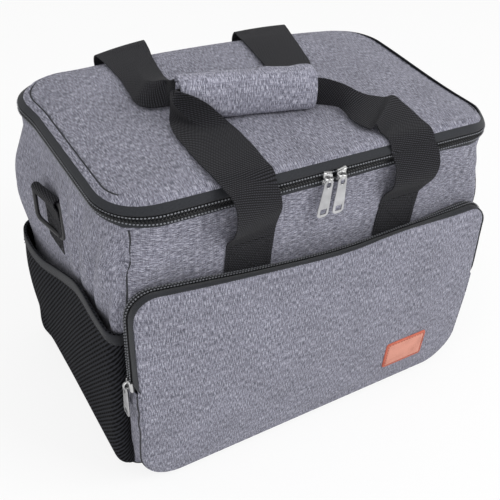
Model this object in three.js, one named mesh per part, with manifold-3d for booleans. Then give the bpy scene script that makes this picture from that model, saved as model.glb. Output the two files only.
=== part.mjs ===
// Soft insulated lunch bag: a lined foam tub with a zipped lid, a zipped front pocket, two mesh
// side pockets, a ring at each end and two webbing handles gathered in a padded grip.
// Millimetres. X is to the right seen from the front, the front faces -Y, +Z is up, and the
// origin is the centre of the base's flat underside.
import * as THREE from "three";
import { mergeVertices } from "three/addons/utils/BufferGeometryUtils.js";
import Module from "manifold-3d";

const wasm = await Module();
wasm.setup();

// Main zip, which sets the bag's outline in plan
const ZIP_WIDTH = 400;
const ZIP_DEPTH = 246;
const ZIP_CORNER_R = 48;
const ZIP_Z = 285.15;
const COIL_T = 2.6;
const COIL_H = 1.3;
const TAPE_T = 1;
const LOWER_TAPE_H = 13;
const UPPER_TAPE_H = 9;
const HINGE_WIDTH = 300;

// Gap left between pieces that are sewn or laid together
const CLEAR = 0.3;

// Walls and base
const FABRIC_T = 1.2;
const FOAM_T = 6;
const LINER_T = 0.8;
const BINDING_T = 1;
const RIM_Z = ZIP_Z - 4.15;
const BODY_CORNER_R = 17;
const FLARE_Z = ZIP_Z - 80.15;
const BACK_SWELL = 7;

// Lid
const LID_SKIRT_Z = ZIP_Z + 2.85;
const LID_SHOULDER_Z = ZIP_Z + 9.15;
const LID_EDGE_R = 6;
const LID_CROWN = 4.5;
const LID_BINDING_W = 8;

// Front pocket
const POCKET_WIDTH = 390;
const POCKET_DEPTH = 28.2;
const POCKET_BOTTOM_Z = 4;
const POCKET_TOP_Z = 222;
const POCKET_TOP_R = 38;
const POCKET_BOTTOM_R = 30;
const POCKET_ZIP_END_Z = 126;
const POCKET_COIL_W = 1.4;
const OUTER_TAPE_W = 12;

// Leather patch on the front pocket
const PATCH_WIDTH = 54;
const PATCH_HEIGHT = 34.5;
const PATCH_T = 1.4;
const PATCH_R = 3;
const PATCH_X = 109;
const PATCH_Z = 53.2;

// Mesh side pockets
const MESH_WIDTH = 208;
const MESH_T = 1.4;
const MESH_BULGE = 16;
const MESH_BOTTOM_Z = 5;
const MESH_FULL_Z = 24;
const MESH_FRONT_Z = 171;
const MESH_REAR_Z = 134;
const MESH_SLOPE_Y = 58;
const MESH_BINDING_H = 12;
const MESH_BINDING_PROUD = 0.6;

// Webbing handles
const WEBBING_W = 46;
const WEBBING_T = 1.6;
const LEG_X = 80.4;
const ANCHOR_BOTTOM_Z = 12;
const ANCHOR_TOP_Z = ZIP_Z - 45.15;
const LEG_BULGE = 13.5;
const LEG_LIFT = 1.8;
const RUN_W = 25;
const RUN_T = 3.6;
const TURN_R = 11;
const TURN_ROLL_DEG = 55;
const TURN_STEPS = 5;
const REAR_SLANT_DEG = -19;

// Padded grip round both handles
const GRIP_LENGTH = 105;
const GRIP_X = -25.5;
const GRIP_Y = -25;
const GRIP_TURN_DEG = -11;
const GRIP_WALL = 4.5;
const GRIP_GAP = 1;
const LIP_T = 1.4;
const LIP_H = 14.5;
const HOOK_LOOP_T = 0.7;
const HOOK_LOOP_H = 12;

// Rings and their tabs
const RING_Y = 24;
const RING_Z = 232;
const RING_WIDTH = 50;
const RING_HEIGHT = 40;
const RING_BAR_W = 4.5;
const RING_BAR_T = 4.2;
const RING_CORNER_R = 6;
const TAB_WIDTH = 38;
const TAB_T = 1.5;
const TAB_BOTTOM_Z = 180;
const TAB_MERGE_Z = 222;
const TAB_LAYERS_T = 2.7;
const TAB_BORE_R = 3.6;

// Zip sliders and pulls
const SLIDERS_MEET_X = -4;
const SLIDER_SPACING = 14;
const SLIDER_L = 9.5;
const SLIDER_W = 12;
const SLIDER_T = 2;
const FLANGE_T = 1.65;
const FLANGE_REACH = 2.3;
const BAIL_L = 9.2;
const BAIL_W = 3.2;
const BAIL_H = 4.7;
const BAIL_WALL = 1.2;
const PULL_L = 35;
const PULL_W = 10;
const PULL_T = 1.4;
const PULL_BAR = 1.8;
const PULL_WINDOW_L = 5.7;
const PULL_WINDOW_W = 4.6;
const POCKET_SLIDER_Z = 133;

// Steps that round shapes are drawn with
const ARC_STEPS = 4;
const FLARE_STEPS = 4;
const SWELL_STEPS = 5;
const MESH_STEPS = 14;

// Insets from the zip's outline to each layer of the wall, from the outside in
const TAPE_IN = COIL_T + CLEAR;
const FABRIC_IN = TAPE_IN + TAPE_T + CLEAR;
const FOAM_IN = FABRIC_IN + FABRIC_T + CLEAR;
const LINER_IN = FOAM_IN + FOAM_T + CLEAR;
const LINED_IN = LINER_IN + LINER_T;
const MIN_R = 0.5;

// Heights of the layers of the floor, and of the zip
const WALL_Z = FABRIC_T + CLEAR;
const LINER_Z = WALL_Z + FOAM_T + CLEAR;
const LOWER_TAPE_Z = ZIP_Z - CLEAR / 2 - LOWER_TAPE_H;
const SWELL_TOP_Z = FLARE_Z + (LOWER_TAPE_Z - FLARE_Z) / FLARE_STEPS;
const FRONT_Y = -(ZIP_DEPTH / 2 - FABRIC_IN);
const SIDE_X = ZIP_WIDTH / 2 - FABRIC_IN;

const rad = THREE.MathUtils.degToRad;
const v3 = (x, y, z) => new THREE.Vector3(x, y, z);

// Finishes
const finish = (color, roughness, metalness = 0) =>
  new THREE.MeshStandardMaterial({ color, roughness, metalness });
const HEATHER = () => finish(0x8c8c93, 0.95);
const FOAM = () => finish(0xe6e6e2, 0.9);
const LINER = () => finish(0xc9cbce, 0.35, 0.6);
const TAPE = () => finish(0x424447, 0.85);
const COIL = () => finish(0x1f2022, 0.5);
const WEBBING = () => finish(0x303033, 0.9);
const MESH = () => finish(0x2a2b2e, 0.95);
const PLASTIC = () => finish(0x18181a, 0.4);
const STEEL = () => finish(0xc4c4c2, 0.3, 1);
const LEATHER = () => finish(0xd69480, 0.7);
const HOOK = () => finish(0x26272a, 1);

const bag = new THREE.Group();

function add(name, geometry, material) {
  const mesh = new THREE.Mesh(geometry, material());
  mesh.name = name;
  bag.add(mesh);
  return mesh;
}

// A closed geometry from points and triangles, turned so that its faces point out.
function closed(points, triangles) {
  let volume = 0;
  for (const [a, b, c] of triangles) {
    volume += points[a].dot(points[b].clone().cross(points[c]));
  }
  const index = triangles.flatMap((t) => (volume < 0 ? [t[0], t[2], t[1]] : t));
  const geometry = new THREE.BufferGeometry().setFromPoints(points);
  geometry.setIndex(index);
  geometry.computeVertexNormals();
  return geometry;
}

// A sheet between two grids of points, outer[level][place] and inner[level][place]. A ring
// closes on itself along its places, and a domed one is closed at its last level by a fan.
function sheet(outer, inner, { ring = false, domed = false } = {}) {
  const levels = outer.length;
  const places = outer[0].length;
  const points = [...outer.flat(), ...inner.flat()];
  const at = (side, level, place) => (side * levels + level) * places + (place % places);
  const triangles = [];
  const quad = (a, b, c, d) => triangles.push([a, b, c], [a, c, d]);
  const spans = ring ? places : places - 1;
  for (let j = 0; j + 1 < levels; j++) {
    for (let i = 0; i < spans; i++) {
      quad(at(0, j, i), at(0, j, i + 1), at(0, j + 1, i + 1), at(0, j + 1, i));
      quad(at(1, j, i), at(1, j + 1, i), at(1, j + 1, i + 1), at(1, j, i + 1));
    }
    if (!ring) {
      const last = places - 1;
      quad(at(0, j, 0), at(0, j + 1, 0), at(1, j + 1, 0), at(1, j, 0));
      quad(at(0, j, last), at(1, j, last), at(1, j + 1, last), at(0, j + 1, last));
    }
  }
  const end = levels - 1;
  for (let i = 0; i < spans; i++) {
    quad(at(0, 0, i), at(1, 0, i), at(1, 0, i + 1), at(0, 0, i + 1));
    if (!domed) quad(at(0, end, i), at(0, end, i + 1), at(1, end, i + 1), at(1, end, i));
  }
  if (domed) {
    for (const side of [0, 1]) {
      const middle = points.length;
      const rim = (side ? inner : outer)[end];
      const centre = rim.reduce((sum, p) => sum.add(p), v3(0, 0, 0)).divideScalar(places);
      points.push(centre);
      for (let i = 0; i < spans; i++) {
        const a = at(side, end, i);
        const b = at(side, end, i + 1);
        triangles.push(side ? [b, a, middle] : [a, b, middle]);
      }
    }
  }
  return closed(points, triangles);
}

// A plane outline, and any holes in it, drawn out along Z from 0 to the depth.
function extruded(outline, depth, holes = []) {
  const shape = new THREE.Shape(outline);
  shape.holes = holes.map((hole) => new THREE.Path(hole));
  return new THREE.ExtrudeGeometry(shape, { depth, bevelEnabled: false });
}

const p2 = (x, y) => new THREE.Vector2(x, y);

function arc(cx, cy, r, from, to, steps = ARC_STEPS) {
  return Array.from({ length: steps + 1 }, (_, i) => {
    const a = rad(from + ((to - from) * i) / steps);
    return p2(cx + r * Math.cos(a), cy + r * Math.sin(a));
  });
}

function roundedRectangle(width, height, r, cx = 0, cy = 0) {
  const x = width / 2 - r;
  const y = height / 2 - r;
  return [
    ...arc(cx + x, cy + y, r, 0, 90),
    ...arc(cx - x, cy + y, r, 90, 180),
    ...arc(cx - x, cy - y, r, 180, 270),
    ...arc(cx + x, cy - y, r, 270, 360),
  ];
}

function box(x0, x1, y0, y1, z0, z1) {
  const geometry = new THREE.BoxGeometry(x1 - x0, y1 - y0, z1 - z0);
  return geometry.translate((x0 + x1) / 2, (y0 + y1) / 2, (z0 + z1) / 2);
}

function solid(geometry) {
  const bare = new THREE.BufferGeometry();
  bare.setAttribute("position", geometry.getAttribute("position"));
  if (geometry.index) bare.setIndex(geometry.index);
  const merged = mergeVertices(bare, 1e-4);
  return new wasm.Manifold(
    new wasm.Mesh({
      numProp: 3,
      vertProperties: merged.attributes.position.array,
      triVerts: new Uint32Array(merged.index.array),
    }),
  );
}

function joined(...geometries) {
  const made = geometries.map(solid).reduce((a, b) => a.add(b)).getMesh();
  const geometry = new THREE.BufferGeometry();
  geometry.setAttribute("position", new THREE.BufferAttribute(made.vertProperties, 3));
  geometry.setIndex(new THREE.BufferAttribute(made.triVerts, 1));
  geometry.computeVertexNormals();
  return geometry;
}

// Plan outline: corners as their signs, with the angles that their arcs run through
const FRONT_LEFT = [-1, -1];
const FRONT_RIGHT = [1, -1];
const BACK_RIGHT = [1, 1];
const BACK_LEFT = [-1, 1];

function planCorner([sx, sy], inset, cornerR, from, to, z, steps = ARC_STEPS) {
  const r = Math.max(cornerR - inset, MIN_R);
  const cx = sx * (ZIP_WIDTH / 2 - inset - r);
  const cy = sy * (ZIP_DEPTH / 2 - inset - r);
  return arc(cx, cy, r, from, to, steps).map((p) => v3(p.x, p.y, z));
}

function planRing(inset, cornerR, z) {
  return [
    ...planCorner(FRONT_LEFT, inset, cornerR, 180, 270, z),
    ...planCorner(FRONT_RIGHT, inset, cornerR, 270, 360, z),
    ...planCorner(BACK_RIGHT, inset, cornerR, 0, 90, z),
    ...planCorner(BACK_LEFT, inset, cornerR, 90, 180, z),
  ];
}

// The zip runs round the front and both sides, and stops at each end of the lid's hinge.
function zipPath(inset, z) {
  const back = ZIP_DEPTH / 2 - inset;
  return [
    v3(-HINGE_WIDTH / 2, back, z),
    ...planCorner(BACK_LEFT, inset, ZIP_CORNER_R, 90, 180, z),
    ...planCorner(FRONT_LEFT, inset, ZIP_CORNER_R, 180, 270, z),
    ...planCorner(FRONT_RIGHT, inset, ZIP_CORNER_R, 270, 360, z),
    ...planCorner(BACK_RIGHT, inset, ZIP_CORNER_R, 0, 90, z),
    v3(HINGE_WIDTH / 2, back, z),
  ];
}

// The body's corners are tight below and open out to the zip's round corners at the top.
function cornerRadius(z) {
  const t = THREE.MathUtils.smoothstep(z, FLARE_Z, LOWER_TAPE_Z);
  return THREE.MathUtils.lerp(BODY_CORNER_R, ZIP_CORNER_R, t);
}

function wallHeights(bottom) {
  const flare = Array.from(
    { length: FLARE_STEPS + 1 },
    (_, i) => FLARE_Z + ((LOWER_TAPE_Z - FLARE_Z) * i) / FLARE_STEPS,
  );
  return [bottom, ...flare, RIM_Z];
}

// Each wall panel runs from the middle of one corner to the middle of the next.
const PANELS = {
  front: [FRONT_LEFT, 225, FRONT_RIGHT, 270],
  right: [FRONT_RIGHT, 315, BACK_RIGHT, 0],
  back: [BACK_RIGHT, 45, BACK_LEFT, 90],
  left: [BACK_LEFT, 135, FRONT_LEFT, 180],
};

function wallPath(side, layer, z, middle = []) {
  const [first, firstFrom, second, secondFrom] = PANELS[side];
  const cornerR = cornerRadius(z);
  const seam = THREE.MathUtils.radToDeg(CLEAR / 2 / (cornerR - layer));
  const half = ARC_STEPS / 2;
  return [
    ...planCorner(first, layer, cornerR, firstFrom + seam, firstFrom + 45, z, half),
    ...middle,
    ...planCorner(second, layer, cornerR, secondFrom, secondFrom + 45 - seam, z, half),
  ];
}

function wallPanel(side, inset, thickness) {
  const heights = wallHeights(WALL_Z);
  return sheet(
    heights.map((z) => wallPath(side, inset, z)),
    heights.map((z) => wallPath(side, inset + thickness, z)),
  );
}

// Levels that the swollen back and the webbing sewn to it share
function swellHeights() {
  return Array.from({ length: SWELL_STEPS + 1 }, (_, i) =>
    THREE.MathUtils.lerp(ANCHOR_BOTTOM_Z, FLARE_Z, i / SWELL_STEPS),
  );
}

// How far the back swells out: most in its middle, nothing at its corners and its top.
function backSwell(x, z) {
  const across = Math.max(1 - (x / (SIDE_X - BODY_CORNER_R)) ** 2, 0);
  const up = Math.sin(Math.PI * THREE.MathUtils.clamp(z / SWELL_TOP_Z, 0, 1));
  return BACK_SWELL * across * up;
}

// The back's outer face swells between its corners, and its inner face lies flat on the foam.
function backPanel() {
  const strap = [LEG_X + WEBBING_W / 2, LEG_X - WEBBING_W / 2];
  const side = HINGE_WIDTH / 2;
  const places = [side, ...strap, 0, -strap[1], -strap[0], -side];
  const middle = (layer, z, swell) =>
    places.map((x) => v3(x, ZIP_DEPTH / 2 - layer + swell * backSwell(x, z), z));
  const heights = [WALL_Z, ...swellHeights().slice(0, -1), ...wallHeights(WALL_Z).slice(1)];
  const level = (layer, swell) => (z) => wallPath("back", layer, z, middle(layer, z, swell));
  return sheet(heights.map(level(FABRIC_IN, 1)), heights.map(level(FABRIC_IN + FABRIC_T, 0)));
}

function plate(inset, cornerR, z0, z1) {
  return sheet([planRing(inset, cornerR, z0)], [planRing(inset, cornerR, z1)], {
    ring: true,
    domed: true,
  });
}

function addBody() {
  add("outer_front_panel", wallPanel("front", FABRIC_IN, FABRIC_T), HEATHER);
  add("outer_back_panel", backPanel(), HEATHER);
  for (const side of ["left", "right"]) {
    add(`outer_side_panel_${side}`, wallPanel(side, FABRIC_IN, FABRIC_T), HEATHER);
  }
  for (const side of ["front", "back", "left", "right"]) {
    add(`foam_${side}`, wallPanel(side, FOAM_IN, FOAM_T), FOAM);
  }
  add("outer_base_panel", plate(FABRIC_IN, BODY_CORNER_R, 0, FABRIC_T), HEATHER);
  add("foam_base", plate(LINER_IN, BODY_CORNER_R, WALL_Z, WALL_Z + FOAM_T), FOAM);
  addLiner();
}

function addLiner() {
  const heights = wallHeights(LINER_Z).reverse();
  const ring = (inset) => (z) => planRing(inset, cornerRadius(z), z);
  const floor = ring(LINED_IN)(LINER_Z + LINER_T);
  const inner = heights.map(ring(LINED_IN));
  inner[inner.length - 1] = floor;
  const tub = sheet(heights.map(ring(LINER_IN)), inner, { ring: true, domed: true });
  add("liner_tub", tub, LINER);
  const levels = [RIM_Z + CLEAR, RIM_Z + CLEAR + BINDING_T];
  const edge = (inset) => levels.map((z) => planRing(inset, ZIP_CORNER_R, z));
  add("rim_binding", sheet(edge(FABRIC_IN), edge(LINED_IN), { ring: true }), TAPE);
}

function zipBand(inset, thickness, z0, z1) {
  const levels = (layer) => [zipPath(layer, z0), zipPath(layer, z1)];
  return sheet(levels(inset), levels(inset + thickness));
}

function addMainZip() {
  const below = ZIP_Z - CLEAR / 2;
  const above = ZIP_Z + CLEAR / 2;
  add("lower_zip_tape", zipBand(TAPE_IN, TAPE_T, LOWER_TAPE_Z, below), TAPE);
  add("lower_zip_coil", zipBand(0, COIL_T, below - COIL_H, below), COIL);
  add("upper_zip_tape", zipBand(TAPE_IN, TAPE_T, above, above + UPPER_TAPE_H), TAPE);
  add("upper_zip_coil", zipBand(0, COIL_T, above, above + COIL_H), COIL);
  const half = HINGE_WIDTH / 2 - CLEAR;
  const back = ZIP_DEPTH / 2 - TAPE_IN;
  const strip = box(-half, half, back - TAPE_T, back, LOWER_TAPE_Z, above + UPPER_TAPE_H);
  add("lid_hinge_strip", strip, HEATHER);
}

// Height of the lid's top above a place in plan. The crown falls off towards every edge.
const LID_EDGE_IN = FABRIC_IN + LID_EDGE_R;
const LID_EDGE_Z = LID_SHOULDER_Z + LID_EDGE_R;
const CROWN_SCALES = [0.85, 0.6, 0.3];

function lidTop(x, y) {
  const across = Math.abs(x) / (ZIP_WIDTH / 2 - LID_EDGE_IN);
  const along = Math.abs(y) / (ZIP_DEPTH / 2 - LID_EDGE_IN);
  const s = Math.min(Math.max(across, along), 1);
  return LID_EDGE_Z + LID_CROWN * (1 - s * s);
}

// Rings of the lid's upper surface, or of a layer that lies the given depth inside it.
function lidRings(depth, bottom) {
  const r = LID_EDGE_R - depth;
  const inset = FABRIC_IN + depth;
  const rounding = Array.from({ length: 4 }, (_, i) => {
    const a = rad(i * 30);
    return planRing(inset + r * (1 - Math.cos(a)), ZIP_CORNER_R, LID_SHOULDER_Z + r * Math.sin(a));
  });
  const rim = rounding[rounding.length - 1];
  const crown = CROWN_SCALES.map((s) =>
    rim.map((p) => v3(p.x * s, p.y * s, p.z + LID_CROWN * (1 - s * s))),
  );
  return [planRing(inset, ZIP_CORNER_R, bottom), ...rounding, ...crown];
}

function addLid() {
  const dome = { ring: true, domed: true };
  const top = sheet(lidRings(0, LID_SKIRT_Z), lidRings(FABRIC_T, LID_SKIRT_Z), dome);
  add("lid_top_panel", top, HEATHER);
  const linerTop = LID_SKIRT_Z + BINDING_T + CLEAR + LINER_T;
  const foamTop = lidRings(FABRIC_T + CLEAR, linerTop + CLEAR);
  const foamBottom = foamTop.map((ring) => ring.map((p) => v3(p.x, p.y, linerTop + CLEAR)));
  const slab = sheet([...foamTop.slice(1)], [...foamBottom.slice(1)], dome);
  add("lid_foam", slab, FOAM);
  add("lid_liner", plate(FOAM_IN, ZIP_CORNER_R, linerTop - LINER_T, linerTop), LINER);
  const levels = [LID_SKIRT_Z, LID_SKIRT_Z + BINDING_T];
  const edge = (inset) => levels.map((z) => planRing(inset, ZIP_CORNER_R, z));
  const binding = sheet(edge(FOAM_IN), edge(FOAM_IN + LID_BINDING_W), { ring: true });
  add("lid_binding", binding, TAPE);
}

// The front pocket's outline in its own plane, above and below the ends of its zip
function pocketUpper(inset) {
  const x = POCKET_WIDTH / 2 - POCKET_TOP_R;
  const z = POCKET_TOP_Z - POCKET_TOP_R;
  const r = POCKET_TOP_R - inset;
  return [
    p2(-POCKET_WIDTH / 2 + inset, POCKET_ZIP_END_Z + CLEAR),
    ...arc(-x, z, r, 180, 90),
    ...arc(x, z, r, 90, 0),
    p2(POCKET_WIDTH / 2 - inset, POCKET_ZIP_END_Z + CLEAR),
  ];
}

function pocketLower(inset) {
  const x = POCKET_WIDTH / 2 - POCKET_BOTTOM_R;
  const z = POCKET_BOTTOM_Z + POCKET_BOTTOM_R;
  const r = POCKET_BOTTOM_R - inset;
  return [
    p2(-POCKET_WIDTH / 2 + inset, POCKET_ZIP_END_Z),
    ...arc(-x, z, r, 180, 270),
    ...arc(x, z, r, 270, 360),
    p2(POCKET_WIDTH / 2 - inset, POCKET_ZIP_END_Z),
  ];
}

function pocketBand(outline, inset, thickness, y0, y1) {
  const levels = (layer) => [y0, y1].map((y) => outline(layer).map((p) => v3(p.x, y, p.y)));
  return sheet(levels(inset), levels(inset + thickness));
}

// A plate that stands across the bag: its outline is in X and Z, and y is its front face.
function uprightPlate(outline, y, thickness) {
  return extruded(outline, thickness).rotateX(Math.PI / 2).translate(0, y + thickness, 0);
}

const POCKET_FRONT_Y = FRONT_Y - POCKET_DEPTH;
const POCKET_MEET_Y = POCKET_FRONT_Y + FABRIC_T + CLEAR + OUTER_TAPE_W + CLEAR / 2;

function addFrontPocket() {
  const behind = POCKET_FRONT_Y + FABRIC_T + CLEAR;
  const outerEnd = POCKET_MEET_Y - CLEAR / 2;
  const innerStart = POCKET_MEET_Y + CLEAR / 2;
  const innerEnd = FRONT_Y - CLEAR - WEBBING_T - CLEAR;
  const gusset = pocketBand(pocketLower, 0, FABRIC_T, behind, FRONT_Y - CLEAR);
  add("pocket_gusset", gusset, HEATHER);
  const lower = uprightPlate(pocketLower(0), POCKET_FRONT_Y, FABRIC_T);
  add("pocket_front_panel", lower, HEATHER);
  const upper = uprightPlate(pocketUpper(0), POCKET_FRONT_Y, FABRIC_T);
  add("pocket_flap_panel", upper, HEATHER);
  const tape = (y0, y1) => pocketBand(pocketUpper, 0, TAPE_T, y0, y1);
  const coil = (y0, y1) => pocketBand(pocketUpper, -CLEAR - COIL_T, COIL_T, y0, y1);
  add("pocket_outer_tape", tape(behind, outerEnd), TAPE);
  add("pocket_outer_coil", coil(outerEnd - POCKET_COIL_W, outerEnd), COIL);
  add("pocket_inner_tape", tape(innerStart, innerEnd), TAPE);
  add("pocket_inner_coil", coil(innerStart, innerStart + POCKET_COIL_W), COIL);
  const outline = roundedRectangle(PATCH_WIDTH, PATCH_HEIGHT, PATCH_R, PATCH_X, PATCH_Z);
  const patch = uprightPlate(outline, POCKET_FRONT_Y - CLEAR - PATCH_T, PATCH_T);
  add("leather_patch", patch, LEATHER);
}

// How far the mesh stands off the side panel: full soon above its foot, nothing at its edges.
function meshBulge(y, z) {
  const across = 1 - ((2 * y) / MESH_WIDTH) ** 8;
  const rise = THREE.MathUtils.clamp((z - MESH_BOTTOM_Z) / (MESH_FULL_Z - MESH_BOTTOM_Z), 0, 1);
  return MESH_BULGE * across * Math.sqrt(1 - (1 - rise) ** 2);
}

// The mesh's top edge stands high at the front and sinks towards the back.
function meshTop(y) {
  const t = THREE.MathUtils.smoothstep(y, -MESH_SLOPE_Y, MESH_SLOPE_Y);
  return THREE.MathUtils.lerp(MESH_FRONT_Z, MESH_REAR_Z, t);
}

function meshSheet(sign, levels, thickness) {
  const places = Array.from(
    { length: MESH_STEPS + 1 },
    (_, i) => (MESH_WIDTH / 2) * Math.sin(Math.PI * (i / MESH_STEPS - 0.5)),
  );
  const out = (y, z, proud) => v3(sign * (SIDE_X + CLEAR + meshBulge(y, z) + proud), y, z);
  const grid = (proud) => levels.map((level) => places.map((y) => out(y, level(y), proud)));
  return sheet(grid(thickness), grid(0));
}

function addMeshPocket(sign, side) {
  const rise = [0, 0.08, 0.25, 0.55, 1].map((t) => () =>
    THREE.MathUtils.lerp(MESH_BOTTOM_Z, MESH_FULL_Z, t),
  );
  add(`mesh_pocket_${side}`, meshSheet(sign, [...rise, meshTop], MESH_T), MESH);
  const hem = [CLEAR, MESH_BINDING_H].map((rise) => (y) => meshTop(y) + rise);
  add(`mesh_binding_${side}`, meshSheet(sign, hem, MESH_T + MESH_BINDING_PROUD), WEBBING);
}

// The tab is webbing folded round the ring's bar: u is the distance out from the side panel.
const RING_U = CLEAR + TAB_T + TAB_BORE_R;

function addRing(sign, side) {
  const loopR = TAB_BORE_R + TAB_T;
  const layers = CLEAR + TAB_LAYERS_T;
  const section = [
    p2(CLEAR, TAB_BOTTOM_Z),
    p2(layers, TAB_BOTTOM_Z),
    p2(layers, TAB_MERGE_Z),
    ...arc(RING_U, RING_Z, loopR, 0, 180, 8),
  ];
  const bore = arc(RING_U, RING_Z, TAB_BORE_R, 0, -330, 11);
  const tab = extruded(section, TAB_WIDTH, [bore]);
  tab.rotateX(Math.PI / 2).translate(SIDE_X, RING_Y + TAB_WIDTH / 2, 0);
  const outside = roundedRectangle(RING_WIDTH, RING_HEIGHT, RING_CORNER_R);
  const inside = roundedRectangle(
    RING_WIDTH - 2 * RING_BAR_W,
    RING_HEIGHT - 2 * RING_BAR_W,
    RING_CORNER_R - RING_BAR_W,
  );
  const ring = extruded(outside, RING_BAR_T, [inside]);
  ring.translate(0, 0, -RING_BAR_T / 2).rotateX(Math.PI / 2).rotateZ(Math.PI / 2);
  ring.translate(SIDE_X + RING_U, RING_Y, RING_Z + RING_BAR_W / 2 - RING_HEIGHT / 2);
  if (sign < 0) {
    tab.translate(0, -RING_Y, 0).rotateZ(Math.PI).translate(0, RING_Y, 0);
    ring.translate(0, -RING_Y, 0).rotateZ(Math.PI).translate(0, RING_Y, 0);
  }
  add(`ring_tab_${side}`, tab, WEBBING);
  add(`carry_ring_${side}`, ring, PLASTIC);
}

// A slider lies on the coil: x is along the zip, -y is out from it and z is across it. Its
// flange hooks under the coil half on the -z side, so that the other half can lift away.
function sliderBody(bailTurn) {
  const face = CLEAR + SLIDER_T;
  const flangeTop = -CLEAR / 2 - COIL_H - CLEAR;
  const section = [
    p2(CLEAR, SLIDER_W / 2),
    p2(face, SLIDER_W / 2),
    p2(face, -SLIDER_W / 2),
    p2(CLEAR, -SLIDER_W / 2),
    p2(CLEAR, flangeTop - FLANGE_T),
    p2(-FLANGE_REACH, flangeTop - FLANGE_T),
    p2(-FLANGE_REACH, flangeTop),
    p2(CLEAR, flangeTop),
  ];
  const foot = face - CLEAR;
  const outside = [
    p2(foot, BAIL_L / 2),
    p2(face + BAIL_H, BAIL_L / 2 - BAIL_WALL),
    p2(face + BAIL_H, -BAIL_L / 2 + BAIL_WALL),
    p2(foot, -BAIL_L / 2),
  ];
  const inside = roundedRectangle(
    BAIL_H - BAIL_WALL - CLEAR,
    BAIL_L - 2 * BAIL_WALL,
    MIN_R,
    face + CLEAR + (BAIL_H - BAIL_WALL - CLEAR) / 2,
    0,
  );
  const across = (outline, width, holes) =>
    extruded(outline, width, holes).translate(0, 0, -width / 2).rotateY(-Math.PI / 2);
  const place = (geometry) => geometry.rotateX(Math.PI / 2);
  const plateSolid = place(across(section, SLIDER_L));
  const bail = place(across(outside, BAIL_W, [inside])).rotateY(bailTurn);
  return joined(plateSolid, bail);
}

// The pull hangs from a bar inside the bail. The bar's centre is at the origin.
const PIVOT_OUT = CLEAR + SLIDER_T + CLEAR + (BAIL_H - BAIL_WALL - CLEAR) / 2;
const PIVOT_DROP = BAIL_L / 2 - 2 * BAIL_WALL - PULL_BAR / 3;

function pullPlate() {
  const outline = roundedRectangle(PULL_W, PULL_L + PULL_BAR / 2, 2.2, 0, -PULL_L / 2 + PULL_BAR / 4);
  const windowZ = -PULL_BAR / 2 - PULL_WINDOW_L / 2;
  const windowHole = roundedRectangle(PULL_WINDOW_W, PULL_WINDOW_L, MIN_R, 0, windowZ);
  const slot = roundedRectangle(PULL_W / 2, PULL_W / 4, PULL_W / 8 - 0.05, 0, -PULL_L + PULL_W / 4);
  const pull = extruded(outline, PULL_T, [windowHole.reverse(), slot.reverse()]);
  return pull.translate(0, 0, -PULL_T / 2).rotateX(Math.PI / 2);
}

function addSliders() {
  const front = -ZIP_DEPTH / 2;
  for (const [side, sign] of [["left", -1], ["right", 1]]) {
    const x = SLIDERS_MEET_X + (sign * SLIDER_SPACING) / 2;
    add(`zip_slider_${side}`, sliderBody(0), STEEL).position.set(x, front, ZIP_Z);
    const pull = add(`zip_pull_${side}`, pullPlate(), STEEL);
    pull.position.set(x, front - PIVOT_OUT, ZIP_Z - PIVOT_DROP);
  }
  // The pocket's slider rides on the left stretch of its zip, where the coil runs upright.
  const out = -(POCKET_WIDTH / 2 + CLEAR + COIL_T);
  const upright = new THREE.Matrix4().makeBasis(v3(0, 0, -1), v3(1, 0, 0), v3(0, -1, 0));
  const slider = sliderBody(Math.PI / 2).applyMatrix4(upright);
  add("pocket_slider", slider, STEEL).position.set(out, POCKET_MEET_Y, POCKET_SLIDER_Z);
  const pull = add("pocket_pull", pullPlate().rotateZ(-Math.PI / 2), STEEL);
  pull.position.set(out - PIVOT_OUT, POCKET_MEET_Y, POCKET_SLIDER_Z - PIVOT_DROP);
}

// Webbing sewn flat to the front and the back of the bag, up to where the handles bend free
const WEBBING_Y = -FRONT_Y + CLEAR + WEBBING_T / 2;

// The webbing sewn to the walls. At the back it lies on the swell of the panel.
function addAnchors() {
  const heights = [...swellHeights(), SWELL_TOP_Z, ANCHOR_TOP_Z];
  for (const [end, ySign] of [["front", -1], ["rear", 1]]) {
    for (const [side, xSign] of [["left", -1], ["right", 1]]) {
      const edges = [1, -1].map((hand) => xSign * LEG_X + (hand * WEBBING_W) / 2);
      const swell = (x, z) => (ySign > 0 ? backSwell(x, z) : 0);
      const face = (t) =>
        heights.map((z) => edges.map((x) => v3(x, ySign * (WEBBING_Y + t + swell(x, z)), z)));
      add(`webbing_${end}_${side}`, sheet(face(WEBBING_T / 2), face(-WEBBING_T / 2)), WEBBING);
    }
  }
}

// Lines of the handles inside the grip, in plan: the grip's middle, its direction and its normal
const gripTurn = rad(GRIP_TURN_DEG);
const gripAlong = v3(Math.cos(gripTurn), Math.sin(gripTurn), 0);
const gripAcross = v3(-Math.sin(gripTurn), Math.cos(gripTurn), 0);
const RUN_OFFSET = (RUN_T + CLEAR) / 2;
const GRIP_INNER_T = 2 * RUN_OFFSET + RUN_T + 2 * CLEAR;
const GRIP_INNER_H = RUN_W + 2 * CLEAR;
const GRIP_Z = LID_EDGE_Z + LID_CROWN + GRIP_GAP + GRIP_WALL + GRIP_INNER_H / 2;

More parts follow.
